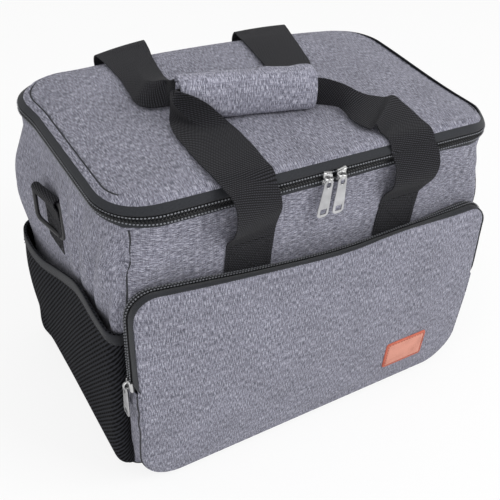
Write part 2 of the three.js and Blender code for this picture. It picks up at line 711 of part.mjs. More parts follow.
// A leg from its anchor to the edge of the lid, as distances out and heights
function risePoints(xSign, ySign) {
  const out = WEBBING_Y;
  const rise = ZIP_Z - ANCHOR_TOP_Z;
  return [
    [out, ANCHOR_TOP_Z + 2 * CLEAR],
    [out + 0.3 * LEG_BULGE, ANCHOR_TOP_Z + 0.22 * rise],
    [out + 0.78 * LEG_BULGE, ANCHOR_TOP_Z + 0.48 * rise],
    [out + LEG_BULGE, ANCHOR_TOP_Z + 0.76 * rise],
    [out + 0.95 * LEG_BULGE, ANCHOR_TOP_Z + rise],
    [out + 0.66 * LEG_BULGE, LID_SHOULDER_Z],
    [out + 0.1 * LEG_BULGE, LID_EDGE_Z],
  ].map(([y, z]) => v3(xSign * LEG_X, ySign * y, z));
}

// Stations of a leg and its turn into the grip: place, half width and half thickness as
// vectors. The leg crosses the lid at a slant. Near the grip it is folded double towards its
// outer edge, and it turns along the grip while it rolls up on edge.
function legStations(xSign, ySign, slantDeg) {
  const from = (xSign < 0 ? 180 : 0) + slantDeg;
  const outward = v3(Math.cos(rad(from)), Math.sin(rad(from)), 0);
  const edge = v3(xSign * LEG_X, ySign * (-FRONT_Y - LID_EDGE_R), 0);
  const fold = outward.clone().multiplyScalar((WEBBING_W - RUN_W) / 2);
  const centre = v3(GRIP_X, GRIP_Y, 0);
  centre.addScaledVector(gripAcross, ySign * (RUN_OFFSET + TURN_R));
  const off = TURN_R + centre.clone().sub(edge).sub(fold).dot(outward);
  centre.addScaledVector(gripAlong, -off / gripAlong.dot(outward));
  const start = centre.clone().addScaledVector(outward, TURN_R).sub(fold);
  const places = risePoints(xSign, ySign);
  const risen = places.length;
  for (const t of [0, 0.35, 0.7]) {
    const place = edge.clone().lerp(start, t);
    place.z = lidTop(place.x, place.y) + LEG_LIFT;
    places.push(place);
  }
  const stations = places.map((place, i) => {
    const next = places[Math.min(i + 1, places.length - 1)];
    const last = places[Math.max(i - 1, 0)];
    const wide = i < risen ? v3(xSign, 0, 0) : outward.clone();
    const thick = next.clone().sub(last).cross(wide).normalize();
    return {
      place,
      wide: wide.multiplyScalar(WEBBING_W / 2),
      thick: thick.multiplyScalar((xSign * ySign * WEBBING_T) / 2),
    };
  });
  const runAngle = GRIP_TURN_DEG - ySign * 90;
  const to = runAngle + (xSign < 0 && ySign > 0 ? 360 : 0);
  for (let i = 0; i <= TURN_STEPS; i++) {
    const t = i / TURN_STEPS;
    const angle = rad(THREE.MathUtils.lerp(from, to, t));
    const out = v3(Math.cos(angle), Math.sin(angle), 0);
    const roll = rad(Math.min(THREE.MathUtils.lerp(TURN_ROLL_DEG, 100, t), 90));
    const place = centre.clone().addScaledVector(out, TURN_R);
    const low = lidTop(place.x, place.y) + LEG_LIFT + (RUN_W / 2) * Math.sin(roll);
    place.z = THREE.MathUtils.lerp(low, GRIP_Z, t);
    const up = v3(0, 0, 1);
    const wide = out.clone().multiplyScalar(Math.cos(roll)).addScaledVector(up, Math.sin(roll));
    const thick = up.multiplyScalar(Math.cos(roll)).addScaledVector(out, -Math.sin(roll));
    stations.push({
      place,
      wide: wide.multiplyScalar(RUN_W / 2),
      thick: thick.multiplyScalar(RUN_T / 2),
    });
  }
  return stations;
}

function ribbon(stations) {
  const side = (sign) =>
    stations.map(({ place, wide, thick }) =>
      [1, -1].map((edge) =>
        place.clone().addScaledVector(wide, edge).addScaledVector(thick, sign),
      ),
    );
  return sheet(side(1), side(-1));
}

function addHandles() {
  const front = [...legStations(-1, -1, 0), ...legStations(1, -1, 0).reverse()];
  const rear = [...legStations(-1, 1, 0), ...legStations(1, 1, REAR_SLANT_DEG).reverse()];
  add("front_handle_webbing", ribbon(front), WEBBING);
  add("rear_handle_webbing", ribbon(rear), WEBBING);
}

// The grip's sections, seen along it: v is towards the rear of the bag, w is up.
function gripPiece(outline) {
  const geometry = extruded(outline, GRIP_LENGTH).translate(0, 0, -GRIP_LENGTH / 2);
  const basis = new THREE.Matrix4().makeBasis(gripAcross, v3(0, 0, 1), gripAlong);
  return geometry.applyMatrix4(basis).translate(GRIP_X, GRIP_Y, GRIP_Z);
}

function addGrip() {
  const t = GRIP_INNER_T / 2;
  const h = GRIP_INNER_H / 2;
  const rear = t + GRIP_WALL;
  const bottom = -h - GRIP_WALL;
  const lip = -t - LIP_T;
  const loopFace = lip - CLEAR - HOOK_LOOP_T;
  const hookFace = loopFace - CLEAR - HOOK_LOOP_T;
  const flapIn = hookFace - CLEAR;
  const flapOut = flapIn - GRIP_WALL;
  const flapTop = h + CLEAR + GRIP_WALL;
  const pad = [
    p2(rear, h),
    p2(rear, bottom),
    p2(lip, bottom),
    p2(lip, bottom + LIP_H),
    p2(-t, bottom + LIP_H),
    p2(-t, -h),
    p2(t, -h),
    p2(t, h),
  ];
  add("grip_pad", gripPiece(pad), HEATHER);
  const strip = (face) => [
    p2(face, bottom + CLEAR),
    p2(face + HOOK_LOOP_T, bottom + CLEAR),
    p2(face + HOOK_LOOP_T, bottom + CLEAR + HOOK_LOOP_H),
    p2(face, bottom + CLEAR + HOOK_LOOP_H),
  ];
  add("grip_loop_strip", gripPiece(strip(loopFace)), HOOK);
  add("grip_hook_strip", gripPiece(strip(hookFace)), HOOK);
  const flap = [
    p2(rear, h + CLEAR),
    p2(rear, flapTop),
    ...arc(flapOut + GRIP_WALL, flapTop - GRIP_WALL, GRIP_WALL, 90, 180),
    p2(flapOut, bottom),
    p2(flapIn, bottom),
    p2(flapIn, h + CLEAR),
  ];
  add("grip_flap", gripPiece(flap), HEATHER);
}

addBody();
addMainZip();
addLid();
addFrontPocket();
addMeshPocket(-1, "left");
addMeshPocket(1, "right");
addRing(-1, "left");
addRing(1, "right");
addSliders();
addAnchors();
addHandles();
addGrip();

export default bag;
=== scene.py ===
"""Soft insulated lunch bag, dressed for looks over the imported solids. Shapes are worked out in
millimetres in the part's own frame (X right, front towards -Y, Z up) and stored in metres."""

import bmesh
import bpy
import numpy as np
from mathutils import Matrix, Vector, noise


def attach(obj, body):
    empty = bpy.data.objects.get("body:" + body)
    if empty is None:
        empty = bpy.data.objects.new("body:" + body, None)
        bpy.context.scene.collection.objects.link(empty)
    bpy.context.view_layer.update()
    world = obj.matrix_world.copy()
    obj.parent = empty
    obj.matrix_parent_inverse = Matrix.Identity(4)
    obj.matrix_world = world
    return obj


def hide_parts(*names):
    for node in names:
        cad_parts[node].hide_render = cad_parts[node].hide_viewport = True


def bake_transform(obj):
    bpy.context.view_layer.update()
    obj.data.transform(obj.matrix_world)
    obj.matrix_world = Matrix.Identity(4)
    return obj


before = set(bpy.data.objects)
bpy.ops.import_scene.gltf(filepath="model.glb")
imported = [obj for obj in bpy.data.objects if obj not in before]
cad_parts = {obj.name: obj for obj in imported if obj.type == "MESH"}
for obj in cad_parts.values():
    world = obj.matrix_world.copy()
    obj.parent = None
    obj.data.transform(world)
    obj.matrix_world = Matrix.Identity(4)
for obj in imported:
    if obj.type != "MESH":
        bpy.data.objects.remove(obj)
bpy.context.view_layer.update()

MM = 0.001
TAU = 2 * np.pi
ROOT = np.sqrt(0.5)

# Main zip and walls
ZIP_X = 200.0
ZIP_Y = 123.0
ZIP_R = 48.0
ZIP_Z = 285.15
HINGE_X = 150.0
TAPE_IN = 2.9
FABRIC_IN = 4.2
LINED_IN = 12.8
WALL_X = ZIP_X - FABRIC_IN
WALL_Y = ZIP_Y - FABRIC_IN
BODY_R = 17.0
FLARE_Z = 205.0
SWELL_TOP_Z = 268.0
WALL_FOOT_Z = 1.5
WALL_TOP_Z = 284.0
HEM_Z = 262.0
LINER_Z = 8.9
LID_Z = 300.3
LOWER_TAPE_Z = 272.0
RIM_Z = 281.0
CLOTH_T = 1.2
SEAM_IN = 11.6
WEB_T = 1.6

# Front pocket
POCKET_X = 195.0
POCKET_Y = -147.0
POCKET_Z0 = 4.0
POCKET_Z1 = 222.0
POCKET_TOP_R = 24.0
POCKET_LOW_R = {-1: 40.0, 1: 39.0}
POCKET_ZIP_Z = 126.0
POCKET_COIL_Y = -131.2
PATCH_X = 109.0
PATCH_Z = 53.2
PATCH_W = 54.0
PATCH_H = 34.5
PATCH_R = 3.0

# Straps
STRAP_W = 46.0
STRAP_X = 80.4
ANCHOR_Z0 = 12.0
ANCHOR_Z1 = 240.0

# Grip: its middle in plan, its turn from X, and its padding
GRIP = np.array([-25.5, -29.0])
GRIP_TURN = np.radians(-11)
GRIP_L = 122.0
GRIP_SHIFT = -10.0
PAD_T = 4.2
PAD_TUCK = 7.0

# Mesh pockets, with the net's rows and cells in metres
MESH_STAND = 11.2
MESH_SLANT = -1.15
MESH_ROW = 0.0056
MESH_CELL = 0.0064

# Rings
RING_X = 205.0
RING_Y = 24.0
RING_Z = 214.3
RING_W = 47.6
RING_H = 37.6
RING_TURN = np.radians(12)

# Zips
COIL_PITCH = 2.85
PULL_L = 35.0

# Camera: its place in metres, and which way its picture's right and its line of sight run
EYE = (-0.341189, -0.526081, 0.594487)
EYE_RIGHT = (0.85277, -0.51704, 0.0738)
EYE_LOOK = (0.4371, 0.6291, -0.6428)
LENS = 51.582
SENSOR = 36
SHIFT = (-0.0326, 0.0757)


# Small numeric helpers

def ease(a, b, x):
    t = np.clip((np.asarray(x, float) - a) / (b - a), 0, 1)
    return t * t * (3 - 2 * t)


def unit(v):
    return v / np.maximum(np.linalg.norm(v, axis=-1, keepdims=True), 1e-9)


def level(plan, z):
    """Points in plan, lifted to a height."""
    return np.column_stack([plan, np.full(len(plan), z)])


def xyz(x, y, z):
    return np.stack(np.broadcast_arrays(x, y, z), -1).astype(float)


def rounded_box(half_w, half_h, r):
    """A rounded rectangle's outline about its middle, across and up."""
    parts = []
    for sx, sy, start in ((1, 1, 0), (-1, 1, 90), (-1, -1, 180), (1, -1, 270)):
        a = np.radians(np.linspace(start, start + 90, 7))
        across = sx * (half_w - r) + r * np.cos(a)
        parts.append(np.stack([across, sy * (half_h - r) + r * np.sin(a)], 1))
    return np.concatenate(parts)


def arc_length(points):
    steps = np.linalg.norm(np.diff(points, axis=0), axis=1)
    return np.concatenate([[0], np.cumsum(steps)])


def through(points, count):
    """A smooth curve through the points, evenly spaced."""
    p = np.array(points, float)
    t = arc_length(p)
    slope = np.gradient(p, t, axis=0)
    fine = np.linspace(0, t[-1], count * 4)
    k = np.clip(np.searchsorted(t, fine, side="right") - 1, 0, len(t) - 2)
    h = (t[k + 1] - t[k])[:, None]
    u = (fine - t[k])[:, None] / h
    a = (1 + 2 * u) * (1 - u) ** 2 * p[k] + u * (1 - u) ** 2 * h * slope[k]
    b = u * u * (3 - 2 * u) * p[k + 1] + u * u * (u - 1) * h * slope[k + 1]
    return evenly(a + b, count)


def values_at(at, t, points):
    """Values at places along a curve whose points lie at t."""
    return np.stack([np.interp(at, t, v) for v in points.T], 1)


def evenly(points, count):
    """The same curve with its points evenly spaced."""
    t = arc_length(points)
    return values_at(np.linspace(0, t[-1], count), t, points)


def rough(points, sizes, seed):
    """Smooth noise of about -1 to 1 at each point, with features of those sizes."""
    flat = points.reshape(-1, 3) * (1 / np.array(sizes, float)) + seed
    values = [noise.noise(Vector(p)) for p in flat]
    return np.array(values).reshape(points.shape[:-1])


def crinkle(grid, sizes, seed):
    """Smooth noise from 0 to 1."""
    return 0.5 + 0.5 * rough(grid, sizes, seed)


def normals(grid, away, wrap=False):
    along = np.gradient(grid, axis=0)
    if wrap:
        across = np.roll(grid, -1, 1) - np.roll(grid, 1, 1)
    else:
        across = np.gradient(grid, axis=1)
    n = unit(np.cross(along, across))
    return n if (n * (grid - np.array(away, float))).sum() >= 0 else -n


def metres_across(grid):
    """Cloth coordinates in metres: across each row, and down the middle column."""
    u = np.stack([arc_length(row) - arc_length(row)[-1] / 2 for row in grid])
    v = np.tile(arc_length(grid[:, grid.shape[1] // 2])[:, None], (1, grid.shape[1]))
    return np.stack([u, v], -1) * MM


# Mesh building

class Piece:
    """Closed forms gathered into one named object."""

    def __init__(self, name, *finishes):
        self.name = name
        self.finishes = finishes
        self.points = []
        self.uvs = []
        self.faces = []
        self.slots = []
        self.count = 0

    def add(self, points, faces, uv=None, finish=0):
        points = np.asarray(points, float).reshape(-1, 3)
        self.points.append(points)
        self.uvs.append(points[:, :2] * MM if uv is None else np.asarray(uv).reshape(-1, 2))
        self.faces += [[i + self.count for i in face] for face in faces]
        self.slots += [finish] * len(faces)
        self.count += len(points)

    def done(self, body=None, nodes=(), slot=None, sharp=50, warp=None):
        points = np.concatenate(self.points)
        if warp:
            points = warp(points)
        mesh = bpy.data.meshes.new(self.name)
        mesh.from_pydata(points * MM, [], self.faces)
        for finish in self.finishes:
            mesh.materials.append(finish)
        mesh.polygons.foreach_set("material_index", self.slots)
        layer = mesh.uv_layers.new(name="cloth")
        corner = np.zeros(len(mesh.loops), int)
        mesh.loops.foreach_get("vertex_index", corner)
        layer.data.foreach_set("uv", np.concatenate(self.uvs)[corner].ravel())
        shape = bmesh.new()
        shape.from_mesh(mesh)
        bmesh.ops.recalc_face_normals(shape, faces=shape.faces)
        shape.to_mesh(mesh)
        shape.free()
        mesh.shade_smooth()
        mesh.set_sharp_from_angle(angle=np.radians(sharp))
        made = bpy.data.objects.new(self.name, mesh)
        bpy.context.scene.collection.objects.link(made)
        if body:
            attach(made, body)
        if nodes:
            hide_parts(*nodes)
        return made


def grid_faces(rows, cols, wrap, start=0):
    i, j = np.meshgrid(np.arange(rows - 1), np.arange(cols if wrap else cols - 1), indexing="ij")
    k = (j + 1) % cols
    quads = np.stack([i * cols + j, i * cols + k, (i + 1) * cols + k, (i + 1) * cols + j], -1)
    return (quads.reshape(-1, 4) + start).tolist()


def add_shell(piece, grid, inner, uv, wrap=False, capped=False):
    """A closed form between two grids, joined round their edges or capped in their last rows."""
    rows, cols = grid.shape[:2]
    size = rows * cols
    last = size - cols
    faces = grid_faces(rows, cols, wrap) + grid_faces(rows, cols, wrap, size)
    edges = [(j, (j + 1) % cols) for j in range(cols if wrap else cols - 1)]
    if not capped:
        edges += [(a + last, b + last) for a, b in edges]
    if not wrap:
        edges += [(i * cols + end, (i + 1) * cols + end) for end in (0, cols - 1) for i in range(rows - 1)]
    faces += [[a, b, b + size, a + size] for a, b in edges]
    if capped:
        faces += [list(range(last, size)), list(range(last + size, 2 * size))]
    points = np.concatenate([grid.reshape(-1, 3), inner.reshape(-1, 3)])
    piece.add(points, faces, np.concatenate([uv.reshape(-1, 2)] * 2))


def add_cloth(piece, grid, thickness, away, uv=None, wrap=False):
    """A closed sheet with its outer face on the grid."""
    inner = grid - normals(grid, away, wrap) * thickness
    add_shell(piece, grid, inner, metres_across(grid) if uv is None else uv, wrap)


def add_dish(piece, grid, other, uv):
    """A closed sheet between two sets of rings, joined round the first and capped in the last."""
    add_shell(piece, grid, other, uv, wrap=True, capped=True)


def add_loft(piece, sections, finish=0, uv=None):
    """A closed skin over closed sections, each of the same number of points, with flat ends."""
    rows, cols = sections.shape[:2]
    faces = grid_faces(rows, cols, True)
    faces += [list(range(cols)), list(range((rows - 1) * cols, rows * cols))]
    if uv is None:
        around = arc_length(sections[rows // 2])
        down = arc_length(sections.mean(1))
        uv = np.stack(np.broadcast_arrays(around[None, :], down[:, None]), -1) * MM
    piece.add(sections, faces, uv, finish)


def add_tube(piece, path, radius, ref, sides=6, finish=0, flat=1.0, loop=False):
    """A round tube, or a flattened one, along a path. ref gives a direction across it."""
    path = np.asarray(path, float)
    ahead = np.roll(path, -1, 0) - np.roll(path, 1, 0) if loop else np.gradient(path, axis=0)
    ahead = unit(ahead)
    side = unit(np.cross(ahead, np.broadcast_to(ref, path.shape)))
    up = np.cross(side, ahead)
    a = (np.arange(sides) / sides * TAU + np.pi / sides)[None, :, None]
    ring = side[:, None] * np.cos(a) + up[:, None] * np.sin(a) * flat
    sections = path[:, None] + ring * np.broadcast_to(radius, len(path))[:, None, None]
    if loop:
        count = len(path) * sides
        faces = np.array(grid_faces(len(path) + 1, sides, True)) % count
        piece.add(sections, faces.tolist(), None, finish)
    else:
        add_loft(piece, sections, finish)


def add_stitches(piece, path, normal, length, gap, radius, finish):
    """Threads that stand a little proud along a seam."""
    path = np.asarray(path, float)
    t = arc_length(path)
    count = max(int(t[-1] / (length + gap)), 1)
    both = np.hstack([path, np.broadcast_to(normal, path.shape)])
    lift = np.array([-0.2, 0.16, 0.3, 0.16, -0.2])[:, None]
    thick = radius * np.array([0.3, 0.9, 1, 0.9, 0.3])
    for i in range(count):
        at = (i + 0.5) * t[-1] / count + np.linspace(-0.5, 0.5, 5) * length
        mid, up = np.split(values_at(at, t, both), 2, 1)
        up = unit(up)
        add_tube(piece, mid + up * lift, thick, up, 5, finish)


# Finishes

class Value:
    """A number within a material, which takes arithmetic by way of math nodes."""

    def __init__(self, finish, socket):
        self.finish = finish
        self.socket = socket

    def __add__(self, other):
        return self.finish.math("ADD", self, other)

    def __sub__(self, other):
        return self.finish.math("SUBTRACT", self, other)

    def __mul__(self, other):
        return self.finish.math("MULTIPLY", self, other)

    def __truediv__(self, other):
        return self.finish.math("DIVIDE", self, other)


class Finish:
    """A node material built on the Principled shader."""

    def __init__(self, name, roughness, metallic=0.0, sheen=0.0, specular=0.5):
        self.material = bpy.data.materials.new(name)
        self.material.use_nodes = True
        self.tree = self.material.node_tree
        self.shader = self.tree.nodes["Principled BSDF"]
        for socket, value in (("Roughness", roughness), ("Metallic", metallic),
                              ("Sheen Weight", sheen), ("Specular IOR Level", specular)):
            self.shader.inputs[socket].default_value = value

    def put(self, value, socket):
        """Sets an input to a number or colour, or links a value to it."""
        value = getattr(value, "socket", value)
        if hasattr(value, "is_output"):
            self.tree.links.new(value, socket)
        else:
            socket.default_value = value

    def node(self, kind, **inputs):
        """A new node with its inputs set by name."""
        made = self.tree.nodes.new("ShaderNode" + kind)
        for name, value in inputs.items():
            self.put(value, made.inputs[name])
        return made

    def cloth(self):
        made = self.node("UVMap")
        made.uv_map = "cloth"
        return made.outputs["UV"]

    def place(self):
        return self.node("TexCoord").outputs["Object"]

    def scaled(self, vector, scales):
        """Coordinates times a scale, or times one along u and one along v."""
        scales = (*scales, 1.0) if np.ndim(scales) else (scales,) * 3
        return self.node("Mapping", Vector=vector, Scale=scales).outputs["Vector"]

    def noise(self, vector, scales, detail=2.0, roughness=0.5):
        at = self.scaled(vector, scales)
        made = self.node("TexNoise", Vector=at, Scale=1.0, Detail=detail, Roughness=roughness)
        return Value(self, made.outputs["Fac"])

    def cells(self, vector, scales):
        made = self.node("TexVoronoi", Vector=self.scaled(vector, scales), Scale=1.0)
        return Value(self, made.outputs["Distance"])

    def math(self, kind, *values):
        made = self.node("Math")
        made.operation = kind
        for value, socket in zip(values, made.inputs):
            self.put(value, socket)
        return Value(self, made.outputs[0])

    def split(self, vector):
        """The values of a vector's first two coordinates."""
        return [Value(self, socket) for socket in self.node("SeparateXYZ", Vector=vector).outputs[:2]]

    def ramp(self, value, *stops):
        made = self.node("ValToRGB", Fac=value)
        ends = made.color_ramp.elements
        while len(ends) < len(stops):
            ends.new(0.5)
        for end, (at, shade) in zip(ends, stops):
            end.position = at
            end.color = (*shade, 1)
        return made.outputs["Color"]

    def product(self, a, b):
        """Two colours multiplied."""
        made = self.node("Mix")
        made.data_type = "RGBA"
        made.blend_type = "MULTIPLY"
        for value, socket in zip((1.0, a, b), (made.inputs[0], *made.inputs[6:8])):
            self.put(value, socket)
        return made.outputs[2]

    def wave(self, value, pitch):
        """A sine from 0 to 1 with one crest each pitch, in metres."""
        return self.math("SINE", value * (TAU / pitch)) * 0.5 + 0.5

    def bump(self, height, distance, strength=1.0):
        made = self.node("Bump", Height=height, Distance=distance, Strength=strength)
        self.tree.links.new(made.outputs["Normal"], self.shader.inputs["Normal"])

    def colour(self, value):
        self.put(value, self.shader.inputs["Base Color"])


def srgb(r, g, b):
    c = np.array([r, g, b]) / 255
    return tuple(float(x) for x in np.where(c < 0.04045, c / 12.92, ((c + 0.055) / 1.055) ** 2.4))


def heather(name, long=0.0055, painted_light=1.0):
    """Melange cloth: pale and dark strands run along v of the cloth coordinates. The last argument scales the
    whole cloth's brightness; above 1 it is painted light.
    """
    f = Finish(name, 0.95, sheen=0.1, specular=0.15)
    uv = f.cloth()
    wide = 0.0008
    strands = f.noise(uv, (1 / wide, 1 / long), 3.0, 0.7)
    fine = f.noise(uv, (1.5 / wide, 0.9 / wide), roughness=0.6)
    weft = f.noise(uv, (0.4 / long, 0.9 / wide), roughness=0.6)
    mixed = fine * 0.25 + strands * 0.75 + (weft * 0.16 - 0.08)
    dark, mid, light = srgb(66, 66, 76), srgb(124, 124, 137), srgb(190, 190, 203)
    shades = f.ramp(mixed, (0.37, dark), (0.5, mid), (0.64, light))
    patchy = f.ramp(f.noise(uv, 22), (0.3, (0.9 * painted_light,) * 3), (0.7, (1.07 * painted_light,) * 3))
    f.colour(f.product(shades, patchy))
    u, v = f.split(uv)
    f.bump(f.wave(u, 0.0009) * f.wave(v, 0.0011) * 0.4 + mixed, 0.0005, 0.9)
    return f.material


def ribbed(name, pale, deep):
    """Woven webbing with ribs that run slightly aslant across it."""
    f = Finish(name, 0.85, sheen=0.05, specular=0.2)
    uv = f.cloth()
    u, v = f.split(uv)
    rib, knot = 0.0019, 0.0024
    wobble = f.noise(uv, (700, 250), 1.0) * 0.0006 - 0.0003
    bent = u * 0.3 + v + wobble
    turn = u * (TAU / knot) + f.math("FLOOR", bent / rib) * np.pi
    ribs = f.wave(bent, rib) * (f.math("SINE", turn) * 0.3 + 0.7)
    worn = f.noise(uv, 900) * 0.3 + ribs * 0.8
    f.colour(f.ramp(worn, (0.15, deep), (0.85, pale)))
    f.bump(ribs, 0.0006)
    return f.material


def taped(name, pale, deep):
    """Zip tape or binding: fine ribs along it."""
    f = Finish(name, 0.75, sheen=0.1, specular=0.25)
    uv = f.cloth()
    u, v = f.split(uv)
    mixed = f.wave(u + v * 0.4, 0.0009) * 0.45 + f.noise(uv, (1500, 500)) * 0.55
    f.colour(f.ramp(mixed, (0.2, deep), (0.8, pale)))
    f.bump(mixed, 0.00018, 0.8)
    return f.material


def netted(name):
    """Spacer mesh: slanting rows of open cells, half a cell apart, between pale ribs. The sheet stays whole:
    each cell is painted near-black, as the shade seen through a hole.
    """
    f = Finish(name, 0.9, specular=0.1)
    uv = f.cloth()
    u, v = f.split(uv)
    row = (u * MESH_SLANT + v) / MESH_ROW
    half = f.math("MODULO", f.math("ABSOLUTE", f.math("FLOOR", row)), 2.0) * 0.5
    x = f.math("FRACT", u / MESH_CELL + half) - 0.5
    y = f.math("FRACT", row) - 0.5
    reach = f.math("SQRT", x * x * 0.5 + y * y * 2.2) * 2.1
    cell = f.math("SMOOTH_MIN", reach, 1.0, 0.2)
    tone = f.noise(uv, (1400, 700)) * 0.2 + cell * 0.85
    # The near-black in the middle of each cell is painted shade for the depth behind a hole; the ribs carry
    # the mesh's own dark colour.
    f.colour(f.ramp(tone, (0.4, srgb(3, 3, 4)), (0.72, srgb(10, 10, 12)), (1.0, srgb(47, 48, 53))))
    f.bump(cell, 0.0012)
    return f.material


def moulded(name, shade, roughness, metallic=0.0):
    """Plastic or metal with faint grain and rubbed patches."""
    f = Finish(name, roughness, metallic)
    spot = f.place()
    rubbed = f.noise(spot, 90, 3.0)
    low, high = (tuple(c * k for c in shade) for k in (0.82, 1.12))
    f.colour(f.ramp(rubbed, (0.3, low), (0.7, high)))
    f.put(rubbed * 0.16 + (roughness - 0.08), f.shader.inputs["Roughness"])
    f.bump(f.noise(spot, 900, 3.0), 0.00004, 0.6)
    return f.material


def leathered(name, shade, edge):
    """Smooth leather with pores and a slightly darker rim."""
    f = Finish(name, 0.62, specular=0.35)
    spot = f.place()
    pores = f.cells(spot, 900)
    mixed = pores * 0.35 + f.noise(spot, 60, 3.0) * 0.65
    light = tuple(min(c * 1.1, 1) for c in shade)
    f.colour(f.ramp(mixed, (0.25, edge), (0.5, shade), (0.8, light)))
    f.bump(pores, 0.00015, 0.7)
    return f.material


def foiled(name):
    """Silvered film, crushed and heat sealed."""
    f = Finish(name, 0.34, metallic=0.75)
    uv = f.cloth()
    mixed = f.cells(uv, (70, 55)) * 0.6 + f.noise(uv, 260, 3.0) * 0.4
    f.colour(f.ramp(mixed, (0.1, srgb(176, 179, 184)), (0.7, srgb(222, 224, 228))))
    f.bump(mixed, 0.0012, 0.7)
    return f.material


def celled(name, roughness, specular, scale, low, high, depth, strength):
    """Closed-cell foam, or the dense short pile of a hook or loop strip."""
    f = Finish(name, roughness, specular=specular)
    cells = f.cells(f.place(), scale)
    f.colour(f.ramp(cells, (0.0, low), (0.6, high)))
    f.bump(cells, depth, strength)
    return f.material


HEATHER = heather("heather_cloth")
# The grip's cloth: finer strands, and 1.2 times brighter as painted light for its face turned towards the
# lamps.
HEATHER_FINE_PAINTED_LIGHT = heather("heather_cloth_fine_painted_light", 0.0045, 1.2)
WEBBING = ribbed("handle_webbing", srgb(54, 54, 60), srgb(4, 4, 5))
TAPE = taped("zip_tape", srgb(50, 52, 57), srgb(24, 26, 30))
BINDING = taped("binding_tape", srgb(60, 61, 66), srgb(34, 35, 38))
ELASTIC = taped("elastic_binding", srgb(42, 43, 49), srgb(20, 21, 25))
COIL = moulded("coil_nylon", srgb(24, 25, 27), 0.42)
# Pale grey for the dots along each coil's crest: painted highlights of the coil's bends.
COIL_PAINTED_GLINT = taped("coil_painted_glint", srgb(150, 152, 158), srgb(106, 108, 114))
STEEL = moulded("plated_zinc", srgb(200, 200, 200), 0.3, metallic=1.0)
PULL = moulded("satin_zinc", srgb(188, 188, 190), 0.36, metallic=0.85)
PLASTIC = moulded("ring_plastic", srgb(30, 30, 33), 0.42)
NET = netted("pocket_mesh")
LEATHER = leathered("leather", srgb(208, 144, 126), srgb(184, 118, 100))
LEATHER_RIM = leathered("leather_rim", srgb(196, 104, 84), srgb(160, 78, 62))
FOIL = foiled("silvered_liner")
FOAM = celled("white_foam", 0.9, 0.2, 700, srgb(205, 205, 200), srgb(236, 236, 231), 0.0003, 0.6)
PILE = celled("hook_and_loop", 0.95, 0.1, 1300, srgb(52, 53, 57), srgb(20, 20, 22), 0.0006, 1.0)
THREAD = taped("sewing_thread", srgb(120, 120, 126), srgb(86, 86, 92))
BLACK_THREAD = taped("black_thread", srgb(52, 52, 56), srgb(24, 24, 27))
PATCH_THREAD = taped("patch_thread", srgb(186, 112, 92), srgb(150, 84, 68))


# Walls: a lofted shell whose corners and middles swell a little, but never inwards

FRONT_LEFT, FRONT_RIGHT = (-1, -1), (1, -1)
BACK_RIGHT, BACK_LEFT = (1, 1), (-1, 1)
CORNERS = ((FRONT_LEFT, 180), (FRONT_RIGHT, 270), (BACK_RIGHT, 0), (BACK_LEFT, 90))
SIDES = {
    "front": (FRONT_LEFT, 225, FRONT_RIGHT, 270),
    "right": (FRONT_RIGHT, 315, BACK_RIGHT, 0),
    "back": (BACK_RIGHT, 45, BACK_LEFT, 90),
    "left": (BACK_LEFT, 135, FRONT_LEFT, 180),
}
# How far each corner stands out, and each wall's middle beyond its corners
CORNER_PUSH = {FRONT_LEFT: 1.5, FRONT_RIGHT: 1.5, BACK_RIGHT: 6.0, BACK_LEFT: 8.0}
MIDDLE_PUSH = {"front": 0.0, "right": 4.5, "back": 7.0, "left": 3.0}
# How far the pocket's top edge stands over its flat outline, at places across it
FRONT_RISE = [(-200, 9), (-150, 2), (-66, -7), (20, -13), (75, -9), (147, -11), (200, -10)]
WALL_RISE = [(-200, 4), (-137, -4), (-55, -16), (108, -19), (152, -14), (200, -11)]


def corner_radius(z):
    return BODY_R + (ZIP_R - BODY_R) * ease(FLARE_Z, LOWER_TAPE_Z, z)


def corner_arc(corner, inset, r, start, end, count):
    a = np.radians(np.linspace(start, end, count))
    r = r - inset
    x = corner[0] * (ZIP_X - inset - r) + r * np.cos(a)
    y = corner[1] * (ZIP_Y - inset - r) + r * np.sin(a)
    return np.stack([x, y], 1), np.stack([np.cos(a), np.sin(a)], 1)


def wall_row(side, inset, r, straight):
    """Points and outward directions across one wall, from seam to seam."""
    first, a, second, b = SIDES[side]
    p, n = corner_arc(first, inset, r, a, a + 45, 8)
    q, m = corner_arc(second, inset, r, b, b + 45, 8)
    t = np.linspace(0, 1, straight + 2)[1:-1, None]
    middle = p[-1] * (1 - t) + q[0] * t
    out = n[-1] * (1 - t) + m[0] * t
    return np.concatenate([p, middle, q]), np.concatenate([n, out, m])


def swell(z):
    return np.sin(np.pi * np.clip(np.asarray(z, float) / SWELL_TOP_Z, 0, 1)) ** 0.8


def curve_at(points, x):
    """The height at x of a smooth curve through points that run from left to right."""
    curve = through(points, 160)
    return np.interp(x, curve[:, 0], curve[:, 1])


def wall_push(side, place, z):
    """How far a wall stands out at a share of its width, 0 to 1, and a height."""
    first, _, second, _ = SIDES[side]
    place = np.asarray(place, float)
    near, far = 1 - ease(0, 0.5, place), ease(0.5, 1, place)
    push = CORNER_PUSH[first] * near + CORNER_PUSH[second] * far
    push = (push + MIDDLE_PUSH[side] * np.sin(np.pi * place)) * swell(z)
    if side == "front":
        push = push * (1 - ease(0.03, 0.12, place) * (1 - ease(0.88, 0.97, place)))
        band = np.sin(np.pi * np.clip((np.asarray(z) - 216) / 58, 0, 1)) ** 2
        push = push + 1.6 * band * np.sin(np.pi * place) ** 0.5
    return push


def share_of(side, across):
    """A wall's share of its width from x or y."""
    half = WALL_X if side in ("front", "back") else WALL_Y
    forward = side in ("front", "right")
    return 0.5 + (across / half / 2) * (1 if forward else -1)


